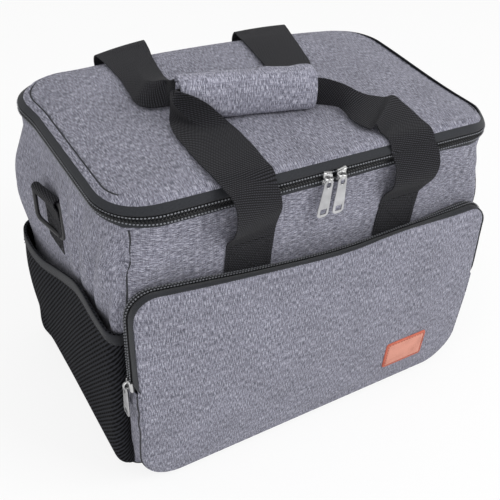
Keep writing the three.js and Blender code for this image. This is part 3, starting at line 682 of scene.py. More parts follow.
def wall_grid(side, heights, straight):
    """Points, outward directions, shares across and heights of a wall."""
    rows, outs = [], []
    for z in heights:
        p, n = wall_row(side, FABRIC_IN, corner_radius(z), straight)
        rows.append(level(p, z))
        outs.append(level(n, 0))
    grid, out = np.array(rows), np.array(outs)
    share = np.stack([arc_length(row) / arc_length(row)[-1] for row in grid])
    return grid + out * wall_push(side, share, grid[..., 2])[..., None], out, share


def rear_lift(x, y):
    """How far the lid stands up along its hinge."""
    return 5 * ease(30, 112, y) * (1 - np.clip(np.abs(x) / 170, 0, 1) ** 2)


def droop(x, y):
    """How far the lid's sides hang down."""
    return 7 * ease(150, 198, x) * (1 - ease(-60, 100, y)) + 4.5 * ease(150, 198, -x)


def settle(p):
    """How the top of the filled bag stands: its rear left corner is drawn out, its sides hang."""
    x, y, z = p.T
    corner = 11 * ROOT * ease(130, 196, -x) * ease(50, 119, y) * ease(130, 190, z)
    slack = 2.2 * np.exp(-((y + 88) / 35) ** 2) * ease(150, 196, x)
    slack *= ease(190, 225, z) * (1 - ease(250, 272, z))
    lift = ease(288, 300, z) * rear_lift(x, y) - ease(280, 297, z) * droop(x, y)
    return p + np.stack([-corner - slack, corner, lift], 1)


def pocket_fall(p):
    """How the front pocket hangs: its top leans back and sags, more so beside the wall."""
    x, y, z = p.T
    front = np.clip((y + 121) / -26, 0, 1)
    rise = curve_at(WALL_RISE, x) * (1 - front) + curve_at(FRONT_RISE, x) * front
    lean = front * (8 * ease(90, 222, z) + 1.8 * (1 - ease(0, 45, z)))
    return p + np.stack([-5.5 * ease(120, 195, x), lean, rise * ease(150, 215, z)], 1)


def side_folds(y, z, seed):
    """Soft folds that fan out below the zip on a side wall."""
    drop = np.clip((LOWER_TAPE_Z + 4 - z) / 130, 0, 1)
    fan = y + 0.28 * (y + 25) * drop
    waves = np.abs(np.sin(np.pi * fan / 37 + 0.9 * np.sin(z / 41 + seed) + seed))
    fine = 0.5 + 0.5 * np.sin(TAU * (fan / 21) + 2.1 * np.sin(z / 23 - seed) + 2 * seed)
    fade = np.sin(np.pi * np.clip(drop * 1.15, 0, 1)) ** 0.7
    held = 1 - 0.9 * np.exp(-(((y - RING_Y) / 28) ** 2) - ((z - 224) / 44) ** 4)
    return (6.5 * waves + 1.2 * fine) * fade * held * (1 - 0.9 * ease(10, 80, y))


def make_walls():
    for side in SIDES:
        long_side = side in ("front", "back")
        fine = 110 if side == "front" else 44
        heights = np.concatenate([np.linspace(WALL_FOOT_Z, 200, 46)[:-1],
                                  np.linspace(200, WALL_TOP_Z, fine)])
        grid, out, share = wall_grid(side, heights, 120 if long_side else 84)
        x, y, z = (grid[..., k].copy() for k in range(3))
        wide = 2 * (WALL_X if long_side else WALL_Y)
        seam = np.minimum(share, 1 - share) * wide
        edge = ease(0, 9, seam)
        if long_side:
            band = ease(205, 225, z)
            lift = 1.1 * crinkle(grid, (46, 30, 7), 3.1) * band
            lift += 1.5 * crinkle(grid, (24, 30, 2.8), 7.7) * band
            lift += 0.8 * crinkle(grid, (70, 50, 45), 5.7)
            lift *= 1 - np.exp(-((np.abs(x) - STRAP_X) / 27) ** 6)
        else:
            lift = side_folds(y, z, 0.7 if side == "left" else 2.9)
            lift += 0.7 * crinkle(grid, (30, 24, 36), 8.2)
        pucker = 0.55 * (0.5 + 0.5 * np.sin(z / 2.9 + 1.7 * np.sin(z / 9)))
        lift = lift * edge + pucker * (1 - edge) * ease(0, 2.5, seam)
        # The top edge is turned under and lies over the tape
        over = ease(HEM_Z, 270, z)
        lift = lift * (1 - over) + 2.0 * over
        grid = grid + out * lift[..., None]
        # The cloth's top line stands lower towards the corners
        if side == "front":
            sag = 3.4 * np.exp(-((grid[..., 0] + 10) / 85) ** 4) + 2 * ease(90, 170, grid[..., 0])
            top = 280.4 - sag - 4.0 * (1 - np.sin(np.pi * share) ** 0.35)
        else:
            top = 280.5 - 3.5 * (1 - np.sin(np.pi * share) ** 0.5)
        grid[..., 2] = z + (top - WALL_TOP_Z) * ease(HEM_Z, WALL_TOP_Z, z)
        grid[-1] -= out[-1] * 1.5
        grid[-2] -= out[-2] * 0.3
        uv = metres_across(grid)
        name = f"{side}_panel" if long_side else f"side_panel_{side}"
        piece = Piece(f"{name}_cloth", HEATHER)
        add_cloth(piece, grid, CLOTH_T, (0, 0, 140), uv[..., ::-1] if long_side else uv)
        made = piece.done("bag", [f"outer_{name}"], "heather_fabric", warp=settle)
        wide * 1.02 * MM
        "foam_" + side


def make_seams():
    """Dark folded seams down the four corners."""
    z = np.linspace(4, 274, 220)
    r = corner_radius(z) - FABRIC_IN
    for corner, _ in CORNERS:
        sx, sy = corner
        reach = (r + CORNER_PUSH[corner] * swell(z) + 0.1) * ROOT
        way = np.array([sx, sy, 0]) * ROOT
        wander = 0.7 * np.sin(z / 8.5) + 0.5 * np.sin(z / 3.7 + 1)
        if corner == FRONT_LEFT:
            wander -= 3.5 * ease(120, 160, z)
        path = xyz(sx * (WALL_X - r + reach), sy * (WALL_Y - r + reach), z)
        path += way * (1.4 * ease(HEM_Z, 270, z) + 0.3)[:, None]
        path += np.array([sy, -sx, 0]) * ROOT * wander[:, None]
        piece = Piece(f"corner_seam_{'front' if sy < 0 else 'back'}_{'left' if sx < 0 else 'right'}", BINDING)
        add_tube(piece, path, 0.85, way, 6, flat=0.8)
        piece.done("bag", slot="binding", warp=settle)


def make_base():
    """The base cloth, with its edge rolled up into the bottom seam."""
    ring = full_ring(FABRIC_IN, BODY_R, 14, 0)
    grid = np.array([level(ring * s, 0) for s in (1, 0.995, 0.6, 0.2)])
    grid[0, :, 2] += 0.5
    top = grid.copy()
    top[..., 2] = CLOTH_T + 0.1
    piece = Piece("base_cloth", HEATHER, BINDING)
    add_dish(piece, grid, top, grid[..., :2] * MM)
    out = unit(grid[0] * (1, 1, 0))
    add_tube(piece, grid[0] + (0, 0, 0.9) + out * 0.3, 0.8, (0, 0, 1), 6, finish=1, loop=True)
    made = piece.done("bag", ["outer_base_panel"], "heather_fabric")


# Liner and rim

def full_ring(inset, r, count=10, straight=40):
    """A closed ring of points round the bag."""
    arcs = [corner_arc(corner, inset, r, a, a + 90, count)[0] for corner, a in CORNERS]
    t = np.linspace(0, 1, straight + 2)[1:-1, None]
    parts = []
    for p, q in zip(arcs, arcs[1:] + arcs[:1]):
        parts += [p, p[-1] * (1 - t) + q[0] * t]
    return np.concatenate(parts)


def level_ring(inset, z, count=10, straight=40):
    return level(full_ring(inset, ZIP_R, count, straight), z)


def make_liner():
    heights = np.concatenate([[LINER_Z, 9.2, 12], np.linspace(20, RIM_Z, 50)])
    grid = np.array([level(full_ring(LINED_IN - 0.4, corner_radius(z)), z) for z in heights])
    inward = -unit(grid * (1, 1.6, 0))
    folds = crinkle(grid, (26, 26, 40), 2.2) ** 1.4 * 4.5
    fade = ease(9, 40, grid[..., 2]) * (1 - 0.75 * ease(250, RIM_Z, grid[..., 2]))
    grid += inward * (folds * fade)[..., None]
    floor = np.array([grid[0] * (s, s, 1) for s in (0.05, 0.25, 0.5, 0.75, 0.93)])
    floor[..., 2] = LINER_Z + 1.2 * crinkle(floor, (30, 30, 1), 6.0)
    grid = np.concatenate([floor, grid])[::-1]
    piece = Piece("liner_film", FOIL)
    add_dish(piece, grid, grid + normals(grid, (0, 0, 150), True) * 0.5, metres_across(grid))
    piece.done("bag", ["liner_tub"], "liner")


def make_rim(name, node, body, z, side):
    """A binding folded over an edge: its outer edge follows the cloth, its inner one the liner."""
    ring = settle(level_ring(FABRIC_IN + 0.4, z))
    within = level_ring(LINED_IN, z)
    lift = np.array([0, 0, side * 0.9])
    t = np.linspace(0, 1, 9)[:, None, None]
    grid = ring * (1 - t) + within * t + lift * np.sqrt(np.sin(np.pi * t).clip(0))
    piece = Piece(name, BINDING, BLACK_THREAD)
    add_cloth(piece, grid, 1.0, (0, 0, z - side * 60), metres_across(grid)[..., ::-1], wrap=True)
    path = ring * 0.35 + within * 0.65 + (0, 0, side)
    add_stitches(piece, path, (0, 0, side), 3.0, 1.6, 0.35, 1)
    piece.done(body, [node], "binding")


# Lid

LOWER_TAPE = [(2.9, LOWER_TAPE_Z), (2.7, 278), (2.9, 284.9)]
UPPER_TAPE = [(2.9, 285.4), (2.8, 288.8), (1.5, 289.7), (0.8, 290.9), (1.1, 292.4), (2.3, 294.1),
              (4.1, 295.8), (6.6, 297)]


def lid_height(x, y):
    """The top of the lid: it is fullest towards the hinge, and at its middle."""
    ax, ay = np.abs(x) / (WALL_X - 6), np.abs(y) / (WALL_Y - 6)
    s = np.minimum(np.maximum(ax, ay), 1)
    rear = ease(-20, 118, y) * (1 - (np.abs(x) / WALL_X) ** 3)
    return LID_Z + 4.9 * (1 - s * s) + 3.6 * rear * (1 - ease(0.9, 1.0, ay) * 0.35)


def upright(x, y):
    """Where the zip's upper tape stands up beside the lid: along its right side."""
    return ease(120, 190, x) * ease(-112, -80, y)


def lid_top(x, y):
    """The lid's surface with its rounded edge, and nothing beyond it."""
    near = np.minimum(ZIP_X - np.abs(x), ZIP_Y - np.abs(y))
    t = np.clip(near / 12, 0, 1)
    top = lid_height(x, y) + rear_lift(x, y) + 1.0 - 14 * (1 - np.sqrt(t * (2 - t)))
    return np.where(near > 0, top, -1000)


def rim_distance(x, y):
    """How far inside the zip's rounded outline a point lies."""
    dx, dy = np.abs(x) - (ZIP_X - ZIP_R), np.abs(y) - (ZIP_Y - ZIP_R)
    return ZIP_R - np.hypot(np.maximum(dx, 0), np.maximum(dy, 0)) - np.minimum(np.maximum(dx, dy), 0)


def make_lid():
    edge = [(5.2, 295.4), (5.6, 296.6), (6.4, 297.8), (7.6, 298.8), (9.2, 299.6)]
    count = len(edge)
    inner = full_ring(10.2, ZIP_R, 12, 60)
    scales = np.concatenate([np.linspace(1, 0.93, 24), np.linspace(0.93, 0.02, 46)[1:]])
    rings = [level_ring(inset, z, 12, 60) for inset, z in edge] + [level(inner * s, 0) for s in scales]
    grid = np.array(rings)
    grid[:count, :, 2] -= 1.5 * upright(grid[:count, :, 0], grid[:count, :, 1])
    top = grid[count:]
    x, y = top[..., 0], top[..., 1]
    near = np.minimum(WALL_X - np.abs(x), WALL_Y - np.abs(y))
    soft = 1.1 * crinkle(top, (60, 42, np.inf), 4.4) + 0.4 * crinkle(top, (14, 22, np.inf), 9.1)
    # A sunk line of topstitching runs inside the edge, and dies out at the front
    sunk = 2.4 * np.exp(-((rim_distance(x, y) - SEAM_IN) / 1.1) ** 2) * ease(-118, -60, y)
    top[..., 2] = lid_height(x, y) + soft * ease(6, 30, near) - sunk
    # Cloth coordinates run on evenly over the edge
    step = np.linalg.norm(np.diff(grid, axis=0), axis=2)[:count]
    beyond = np.cumsum(step[::-1], 0)[::-1]
    uv = grid[..., :2].copy()
    uv[:count] = top[0, :, :2] + unit(grid[0] - top[0])[:, :2] * beyond[..., None]
    piece = Piece("lid_cloth", HEATHER, BINDING)
    add_dish(piece, grid, grid - normals(grid, (0, 0, 200), True) * CLOTH_T, uv * MM)
    seam = full_ring(SEAM_IN, ZIP_R, 12, 60)
    seam = np.roll(seam, -np.argmax((seam[:, 0] > 0) & (seam[:, 1] > -96)), 0)
    x, y = seam[seam[:, 1] > -96].T
    path = xyz(x, y, lid_height(x, y) - 1.3 * ease(-100, -60, y) - 0.5)
    add_tube(piece, path, 0.7, (0, 0, 1), 6, finish=1)
    made = piece.done("lid", ["lid_top_panel"], "heather_fabric", sharp=80, warp=settle)


def make_lid_foam():
    """The board of foam in the lid, with rounded edges."""
    rim = full_ring(18.0, ZIP_R, 12, 60)
    edge = ((0.995, 290.8), (1, 292.4), (1, 295.4), (0.994, 297))
    rows = [level(rim * s, z) for s, z in edge]
    for s in np.linspace(0.98, 0.02, 40):
        x, y = (rim * s).T
        rows.append(xyz(x, y, lid_height(x, y) - 2.4))
    grid = np.array(rows)
    piece = Piece("lid_foam_board", FOAM)
    add_dish(piece, grid, grid * (1, 1, 0) + (0, 0, 290.4), grid[..., :2] * MM)
    made = piece.done("lid", ["lid_foam"], "foam", warp=settle)


def make_lid_liner():
    base = level_ring(FABRIC_IN + 1.6, 0)
    scale = np.linspace(1, 0.03, 40)[:, None]
    grid = base * scale[..., None]
    grid[..., 2] = 289.3 - 1.9 * crinkle(grid, (28, 28, np.inf), 1.3) * (1 - scale ** 8)
    piece = Piece("lid_liner_film", FOIL)
    add_dish(piece, grid, grid + (0, 0, 0.6), grid[..., :2] * MM)
    piece.done("lid", ["lid_liner"], "liner", warp=settle)


# Main zip

def zip_line(inset, count=700):
    """The zip's line in plan, from one end of the hinge round the front to the other."""
    arcs = [corner_arc(corner, inset, ZIP_R, a, a + 90, 24)[0] for corner, a in CORNERS[3:] + CORNERS[:3]]
    ends = [np.array([[x, ZIP_Y - inset]]) for x in (-HINGE_X, HINGE_X)]
    return evenly(np.concatenate(ends[:1] + arcs + ends[1:]), count)


def outward(line):
    step = np.gradient(line, axis=0)
    n = unit(np.stack([step[:, 1], -step[:, 0]], 1))
    return -n if (n * line).sum() < 0 else n


def make_tape(name, node, body, profile):
    """A strip of zip tape, from its section's distances inside the zip and heights."""
    line = zip_line(0)
    out = level(outward(line), 0)
    rows = []
    for inset, z in through(profile, 15):
        rise = upright(line[:, 0], line[:, 1]) * ease(289, 297, z)
        rows.append(level(line, z) - out * inset + (out * 2.6 + (0, 0, 2.4)) * rise[:, None])
    grid = np.array(rows)
    fade = np.sin(np.pi * np.linspace(0, 1, len(grid)))[:, None]
    grid += out[None] * (0.5 * crinkle(grid, (18, 18, 30), 7.3) * fade)[..., None]
    piece = Piece(name, TAPE)
    add_cloth(piece, grid, 0.9, (0, 0, 285), metres_across(grid)[..., ::-1])
    piece.done(body, [node], "zip_tape", warp=settle)


def add_coil(piece, line, out, base, height, depth):
    """One half of a nylon coil: a leaning helix, with a row of pale dots along its crest that are painted
    highlights of its bends.
    """
    t = arc_length(line)
    a = np.arange(int(t[-1] / COIL_PITCH) * 9 + 1) / 9 * TAU
    mid, o, b = np.split(values_at(a / a[-1] * t[-1], t, np.hstack([line, out, base])), 3, 1)
    swing, lean = 0.5 + 0.5 * np.cos(a), 0.5 + 0.5 * np.cos(a - 0.9)
    path = mid + o * (depth * (0.22 + 0.56 * swing))[:, None] + b * (height * (0.1 + 0.85 * lean))[:, None]
    add_tube(piece, path, 0.46, o * np.cos(a)[:, None] + b * np.sin(a)[:, None], 5)
    add_tube(piece, (line + base * (height * 0.5) + out * 0.9)[::3], 0.55, out[::3], 5)
    # Short pale stitches at the outer crest of each turn: painted highlights where the coil's bends catch the
    # light.
    add_stitches(piece, line + base * (height * 0.86) + out * (depth * 0.86), out, 1.6, 1.25, 0.66, 1)


def make_main_coils():
    line = zip_line(1.3, 900)
    out = level(outward(line), 0)
    for name, node, body, way in (("upper_coil_teeth", "upper_zip_coil", "lid", 1),
                                  ("lower_coil_teeth", "lower_zip_coil", "bag", -1)):
        piece = Piece(name, COIL, COIL_PAINTED_GLINT)
        base = np.tile([0.0, 0.0, float(way)], (len(line), 1))
        add_coil(piece, level(line, ZIP_Z + way * 0.05) - out * 1.3, out, base, 3.9, 2.6)
        piece.done(body, [node], "zip_coil", warp=settle)


def make_hinge():
    """The cloth that joins the lid to the back between the ends of the zip."""
    x = np.linspace(-HINGE_X, HINGE_X, 100)
    t = np.linspace(0, 1, 22)[:, None]
    y = ZIP_Y - TAPE_IN + 0.5 + 0.8 * np.sin(np.pi * t) + 0.35 * np.sin(6 * np.pi * t)
    grid = xyz(x, y, LOWER_TAPE_Z - 2 + 26 * t)
    grid[..., 1] += 0.5 * crinkle(grid, (34, 1, 12), 3.3)
    piece = Piece("lid_hinge_cloth", HEATHER, THREAD)
    add_cloth(piece, grid, 0.9, (0, 0, 285))
    for row in (2, -3):
        add_stitches(piece, grid[row] + (0, 0.15, 0), (0, 1, 0), 3, 1.6, 0.35, 1)
    made = piece.done(None, ["lid_hinge_strip"], "heather_fabric", warp=settle)
    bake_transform(made)


# Front pocket

def pocket_half_width(z, low_r):
    z = np.asarray(z, float)
    top = np.clip(z - (POCKET_Z1 - POCKET_TOP_R), 0, POCKET_TOP_R)
    low = np.clip(POCKET_Z0 + low_r - z, 0, low_r)
    return (POCKET_X - POCKET_TOP_R + np.sqrt(POCKET_TOP_R ** 2 - top ** 2)
            - low_r + np.sqrt(low_r ** 2 - low ** 2))


def pocket_line(z0, above=True, count=400):
    """The pocket's outline in x and z above a height, or below it, from left to right."""
    parts = [np.array([[-POCKET_X, z0]])]
    for hand in (-1, 1):
        r = POCKET_TOP_R if above else POCKET_LOW_R[hand]
        z1, turn = (POCKET_Z1, 1) if above else (POCKET_Z0, -1)
        a = np.radians(np.linspace(0, 90, 24))[::-hand]
        x = hand * (POCKET_X - r + r * np.cos(a))
        parts.append(np.stack([x, z1 - turn * (r - r * np.sin(a))], 1))
    parts.append(np.array([[POCKET_X, z0]]))
    return evenly(np.concatenate(parts), count)


def make_pocket_cloth():
    big = max(POCKET_LOW_R.values())
    low = POCKET_Z0 + big * (1 - np.cos(np.linspace(0, np.pi / 2, 20)))
    mid = np.linspace(POCKET_Z0 + big, POCKET_Z1 - POCKET_TOP_R, 74)[1:-1]
    high = POCKET_Z1 - POCKET_TOP_R * (1 - np.cos(np.linspace(np.pi / 2, 0, 14)))
    z = np.concatenate([low, mid, high])[:, None]
    u = np.sin(np.linspace(-np.pi / 2, np.pi / 2, 121)) * 0.35 + np.linspace(-1, 1, 121) * 0.65
    half_left, half_right = (pocket_half_width(z, POCKET_LOW_R[hand]) for hand in (-1, 1))
    half = np.where(u < 0, half_left, half_right)
    x = u * half
    zz = np.broadcast_to(z, x.shape)
    near = np.minimum(half - np.abs(x), np.minimum(zz - POCKET_Z0, POCKET_Z1 - zz))
    turned = 3.6 * (1 - np.sqrt(1 - np.clip(1 - near / 7.0, 0, 1) ** 2))
    puff = 3.2 * np.sin(np.pi * np.clip((zz - 2) / 220, 0, 1)) ** 0.7 * (1 - (np.abs(x) / 197) ** 3)
    grid = xyz(x, 0, zz)
    wave = 1.9 * crinkle(grid, (85, 1, 60), 2.9) + 0.45 * crinkle(grid, (16, 1, 34), 6.6)
    hem = 1.5 * np.exp(-((zz - 15 - 2 * np.sin(x / 40)) / 2.6) ** 2) * ease(12, 30, near + 12)
    patch = np.exp(-((x - PATCH_X) / 34) ** 4 - ((zz - PATCH_Z) / 25) ** 4)
    depth = (puff + wave * ease(0, 20, near)) * (1 - patch) + 2.9 * patch - hem
    grid[..., 1] = POCKET_Y - depth + turned
    piece = Piece("pocket_cloth", HEATHER)
    add_cloth(piece, grid, CLOTH_T, (0, 0, 120), np.stack([x, zz], -1) * MM)
    made = piece.done(None, ["pocket_front_panel", "pocket_flap_panel"], "heather_fabric",
                      sharp=75, warp=pocket_fall)
    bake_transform(made)


def pocket_band(line, y0, y1, rows, bow):
    """A strip round the pocket's outline between two depths, and its outward directions."""
    step = np.gradient(line, axis=0)
    out = unit(np.stack([-step[:, 1], step[:, 0]], 1))
    if (out * (line - (0, 110))).sum() < 0:
        out = -out
    t = np.linspace(0, 1, rows)[:, None]
    bowed = line[None] + out[None] * (bow * np.sin(np.pi * t))[..., None]
    return xyz(bowed[..., 0], y0 + (y1 - y0) * t, bowed[..., 1]), xyz(out[:, 0], 0, out[:, 1])


def make_pocket_zip():
    line = pocket_line(POCKET_ZIP_Z)
    for name, node, body, y0, y1 in (
        ("pocket_outer_tape_cloth", "pocket_outer_tape", "pocket_flap", -145.9, POCKET_COIL_Y - 1.2),
        ("pocket_inner_tape_cloth", "pocket_inner_tape", "bag", POCKET_COIL_Y + 1.2, -120.6),
    ):
        grid, out = pocket_band(line, y0, y1, 9, 0.8)
        lift = 0.5 * crinkle(grid, (14, 20, 14), 5.1) - 3 * (1 - ease(126, 136, grid[..., 2]))
        grid += out[None] * lift[..., None]
        piece = Piece(name, TAPE)
        add_cloth(piece, grid, 0.9, (0, -133, 110), metres_across(grid)[..., ::-1])
        piece.done(body, [node], "zip_tape", warp=pocket_fall)
    for name, node, body, way in (("pocket_outer_teeth", "pocket_outer_coil", "pocket_flap", -1),
                                  ("pocket_inner_teeth", "pocket_inner_coil", "bag", 1)):
        grid, out = pocket_band(line, POCKET_COIL_Y + way * 0.05, POCKET_COIL_Y + way, 2, 0.0)
        across = np.tile([0.0, float(way), 0.0], (len(line), 1))
        piece = Piece(name, COIL, COIL_PAINTED_GLINT)
        add_coil(piece, grid[0] + out * 0.2, out, across, 3.2, 2.6)
        piece.done(body, [node], "zip_coil", warp=pocket_fall)


def make_gusset():
    line = pocket_line(POCKET_ZIP_Z, above=False, count=260)
    grid, out = pocket_band(line, -146.0, -119.3, 18, 1.4)
    z = grid[..., 2]
    folds = 1.6 * np.sin(z / 5.5 + 1.6 * np.sin(z / 17) + grid[..., 1] / 7) * ease(8, 40, z)
    folds *= np.sin(np.pi * np.linspace(0, 1, 18))[:, None] * (1 - ease(112, 126, z))
    grid += out[None] * np.maximum(folds, -0.9)[..., None]
    piece = Piece("pocket_gusset_cloth", HEATHER, BINDING)
    add_cloth(piece, grid, CLOTH_T, (0, -133, 110), metres_across(grid)[..., ::-1])
    # A rolled seam along the pocket's edge in the dark binding tape; its darkness is partly painted shade
    # along the seam.
    add_tube(piece, grid[2] + out * 0.3, 0.75, (0, 1, 0), 6, finish=1)
    made = piece.done("bag", ["pocket_gusset"], "heather_fabric", warp=pocket_fall)


# Straps

def add_ribbon(piece, edges, count, across=14, thickness=WEB_T, crown=0.0, flip=False,
               on_lid=False):
    """Webbing through two or more lines that run along it, with thinner selvedges."""
    lines = through(np.hstack([np.array(edge, float) for edge in edges]), count)
    lines = lines.reshape(count, -1, 3)
    place = np.linspace(0, lines.shape[1] - 1, across)
    k = np.minimum(place.astype(int), lines.shape[1] - 2)
    t = (place - k)[None, :, None]
    grid = lines[:, k] * (1 - t) + lines[:, k + 1] * t
    if on_lid:
        floor = lid_top(grid[..., 0], grid[..., 1]) + 1.5
        above = grid[..., 2] - floor
        clear = floor + (above + np.sqrt(above ** 2 + 1.2)) / 2
        grid[..., 2] = np.where(grid[..., 2] > 280, clear, grid[..., 2])
    n = unit(np.cross(np.gradient(grid, axis=0), np.gradient(grid, axis=1)))
    if flip:
        n = -n
    u = np.linspace(0, 1, across)
    grid = grid + n * (crown * np.sin(np.pi * u))[None, :, None]
    profile = thickness / 2 * (0.35 + 0.65 * np.sin(np.pi * (0.06 + 0.88 * u)) ** 0.35)
    outer, inner = grid + n * profile[None, :, None], grid - n * profile[None, :, None]
    uv = metres_across(grid)
    add_loft(piece, np.concatenate([outer, inner[:, ::-1]], 1), 0, np.concatenate([uv, uv[:, ::-1]], 1))


def anchor_y(side, x, z):
    """How far out the webbing lies on the front or back wall."""
    return WALL_Y + 1.1 + wall_push(side, share_of(side, x), z)


def make_anchors():
    for side, wall, way in (("front", "front", -1), ("rear", "back", 1)):
        for hand, sx in (("left", -1), ("right", 1)):
            z = np.linspace(ANCHOR_Z0, ANCHOR_Z1, 60)
            edges = []
            for x in sx * STRAP_X + np.array([-0.5, 0, 0.5]) * STRAP_W:
                edges.append(xyz(x, way * anchor_y(wall, x, z), z))
            piece = Piece(f"anchor_{side}_{hand}", WEBBING, BLACK_THREAD)
            add_ribbon(piece, edges, 60, flip=(way > 0))
            high, low = ANCHOR_Z1 - 4, ANCHOR_Z1 - 40
            x, z = np.array([[-19, low], [19, low], [19, high], [-19, high]]).T
            x = x + sx * STRAP_X
            box = xyz(x, way * (anchor_y(wall, x, z) + 0.85), z)
            add_box_stitch(piece, box, (0, way, 0))
            piece.done("bag", [f"webbing_{side}_{hand}"], "webbing")


def grip_point(along, out, z):
    """A point of the grip: along it, towards the front, and up."""
    c, s = np.cos(GRIP_TURN), np.sin(GRIP_TURN)
    return np.array([GRIP[0] + along * c + out * s, GRIP[1] + along * s - out * c, z])


def add_box_stitch(piece, corners, normal):
    """A sewn square with its two diagonals."""
    a, b, c, d = corners
    for p, q in ((a, b), (b, c), (c, d), (d, a), (a, c), (b, d)):
        add_stitches(piece, np.linspace(p, q, 12), normal, 3, 1.5, 0.4, 1)


def make_front_handle():
    y = -anchor_y("front", -STRAP_X, ANCHOR_Z1)
    piece = Piece("front_handle_strap", WEBBING)
    left = [(-103.4, y, 240.3), (-104, -124, 246), (-104.5, -134, 258), (-105, -139.5, 272),
            (-106, -140, 286), (-108, -135.5, 296), (-110.5, -125, 300.5),
            (-112.5, -112, 304), (-113.8, -90, 305),
            (-113.4, -66, 305.5), (-111.5, -40, 306.5), (-107, -23, 307.5), (-100.5, -11, 310.5),
            (-98.5, -7.5, 316), (-99, -8.5, 322), (-99, -11, 327.5), (-95, -14.5, 330.5), (-84, -18, 331),
            (-60, -21.5, 332), (-26, -28.6, 333)]
    right = [(-57.4, y, 240.3), (-57.8, -123, 250), (-58.3, -127, 262), (-59, -131, 274), (-60, -128.5, 285),
             (-61, -118, 295), (-62, -103, 302.5), (-61.5, -90, 305.5), (-61, -72, 306),
             (-61.2, -56, 307), (-65, -47.5, 311), (-72, -42, 318.4), (-80, -40, 326),
             (-89, -38, 332), (-98, -35, 336), (-102.5, -28, 336), (-99, -21.5, 333.5), (-84, -20, 332),
             (-60, -24.5, 332), (-26, -31, 332)]
    middle = (np.array(left) + np.array(right)) / 2
    middle[9:] = [(-88, -61, 306.5), (-89, -48, 307.5), (-92.5, -40, 310.5), (-98, -34, 316),
                  (-102.5, -28, 321.5), (-104, -23.5, 325), (-102, -20, 327), (-97, -18.5, 326.5),
                  (-84, -18, 322), (-60, -22.5, 320), (-26, -29.5, 320)]
    add_ribbon(piece, [left, middle, right], 220, 17, crown=0.5, on_lid=True)
    right = [(103.4, y, 240.3), (104.5, -127, 250), (106, -134, 262), (107, -135.5, 274),
             (107, -131.5, 285), (106.5, -121, 295), (106, -104, 302), (106.5, -88, 305.5),
             (105.5, -74, 308), (101.5, -64.5, 311.5), (97, -60.5, 309), (85, -59.5, 311.5),
             (71, -58.8, 316), (60, -58, 321.5), (51, -57.4, 327), (42, -56.5, 331), (31, -52.5, 334.5),
             (12, -45, 336), (-22, -33, 337)]
    left = [(57.4, y, 240.3), (57.5, -125, 250), (57.5, -133.5, 262), (58, -133, 274),
            (58, -129.5, 284), (57, -121, 292), (56, -110, 298), (55, -106.5, 303),
            (54, -103, 307), (53, -100.5, 309), (49, -101.5, 306.3), (44, -93, 306.3),
            (42.3, -79, 306.4), (43.8, -67.5, 307), (43.5, -59, 307.8), (37, -51.5, 308), (28, -45.5, 308),
            (10, -40, 308), (-22, -32, 308)]
    add_ribbon(piece, [left, right], 240, 15, crown=0.5, on_lid=True)
    made = piece.done(None, ["front_handle_webbing"], "webbing")
    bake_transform(made)


def make_rear_handle():
    y = anchor_y("back", -STRAP_X, ANCHOR_Z1)
    piece = Piece("rear_handle_strap", WEBBING)
    left = [(-103.4, y, 240.3), (-105, 130, 252), (-108, 136, 268), (-111, 138, 284), (-113.5, 136, 298),
            (-115, 128, 307), (-115, 112, 309.5), (-114.7, 91, 309.5), (-115, 62, 308.5), (-118, 36, 308),
            (-119.5, 18, 307.5), (-115.5, 9, 307.5), (-108, 5, 307.5), (-100, 3, 307.6), (-91, 1, 308),
            (-78, -2, 308), (-62, -5, 308), (-45, -8, 308), (-24, -13.5, 308)]
    right = [(-57.4, y, 240.3), (-59, 131, 252), (-61, 139, 268), (-62, 143, 284), (-61.5, 142, 300),
             (-61.5, 134, 312.5), (-64.5, 114, 312.5), (-69, 96, 311), (-73, 76, 311), (-77.5, 55, 313),
             (-81, 42, 315.5), (-84, 31, 319), (-87, 21, 322.5), (-90, 11, 327), (-91.5, 3, 331),
             (-84, -2.5, 334.5), (-64, -7, 336.5), (-45, -10, 337), (-24, -14.5, 337)]
    middle = (np.array(left) + np.array(right)) / 2
    middle[8:] = [(-95, 70, 311), (-98.5, 47, 314.5), (-101, 33, 318), (-98, 28, 319), (-92.5, 25.5, 320),
                  (-88, 21, 321), (-88, 9, 322), (-80, -1.5, 322), (-63, -5.5, 322), (-45, -8.5, 322),
                  (-24, -13.7, 322)]
    add_ribbon(piece, [left, middle, right], 240, 17, crown=0.5, on_lid=True)
    right = [(103.4, y, 240.3), (106, 131, 252), (108.5, 139, 268), (109.5, 143, 283), (109, 142, 297),
             (106, 133.5, 307), (100, 117, 310), (92.5, 96, 310.5), (86, 74, 310), (80, 54, 309.5),
             (75, 37, 309), (68, 22, 308.5), (56, 9, 308), (40, -2, 308), (24, -9.5, 308),
             (8, -13, 308), (-20, -14, 308)]
    left = [(57.4, y, 240.3), (56, 130, 252), (52, 137, 268), (47, 140, 284), (43.5, 138, 298),
            (41, 130, 308.5), (37, 113, 310.5), (33, 92, 310.5), (30, 70, 310.5), (27, 51, 310.5),
            (24, 35, 310.5), (20, 20, 311.5), (14, 8, 316), (6, -1, 324), (-4, -8, 331.5),
            (-13, -12, 336), (-22, -14.6, 337)]
    add_ribbon(piece, [left, right], 220, 15, crown=0.5, on_lid=True)
    made = piece.done(None, ["rear_handle_webbing"], "webbing")
    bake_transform(made)


# Grip: a padded strip wrapped round both straps

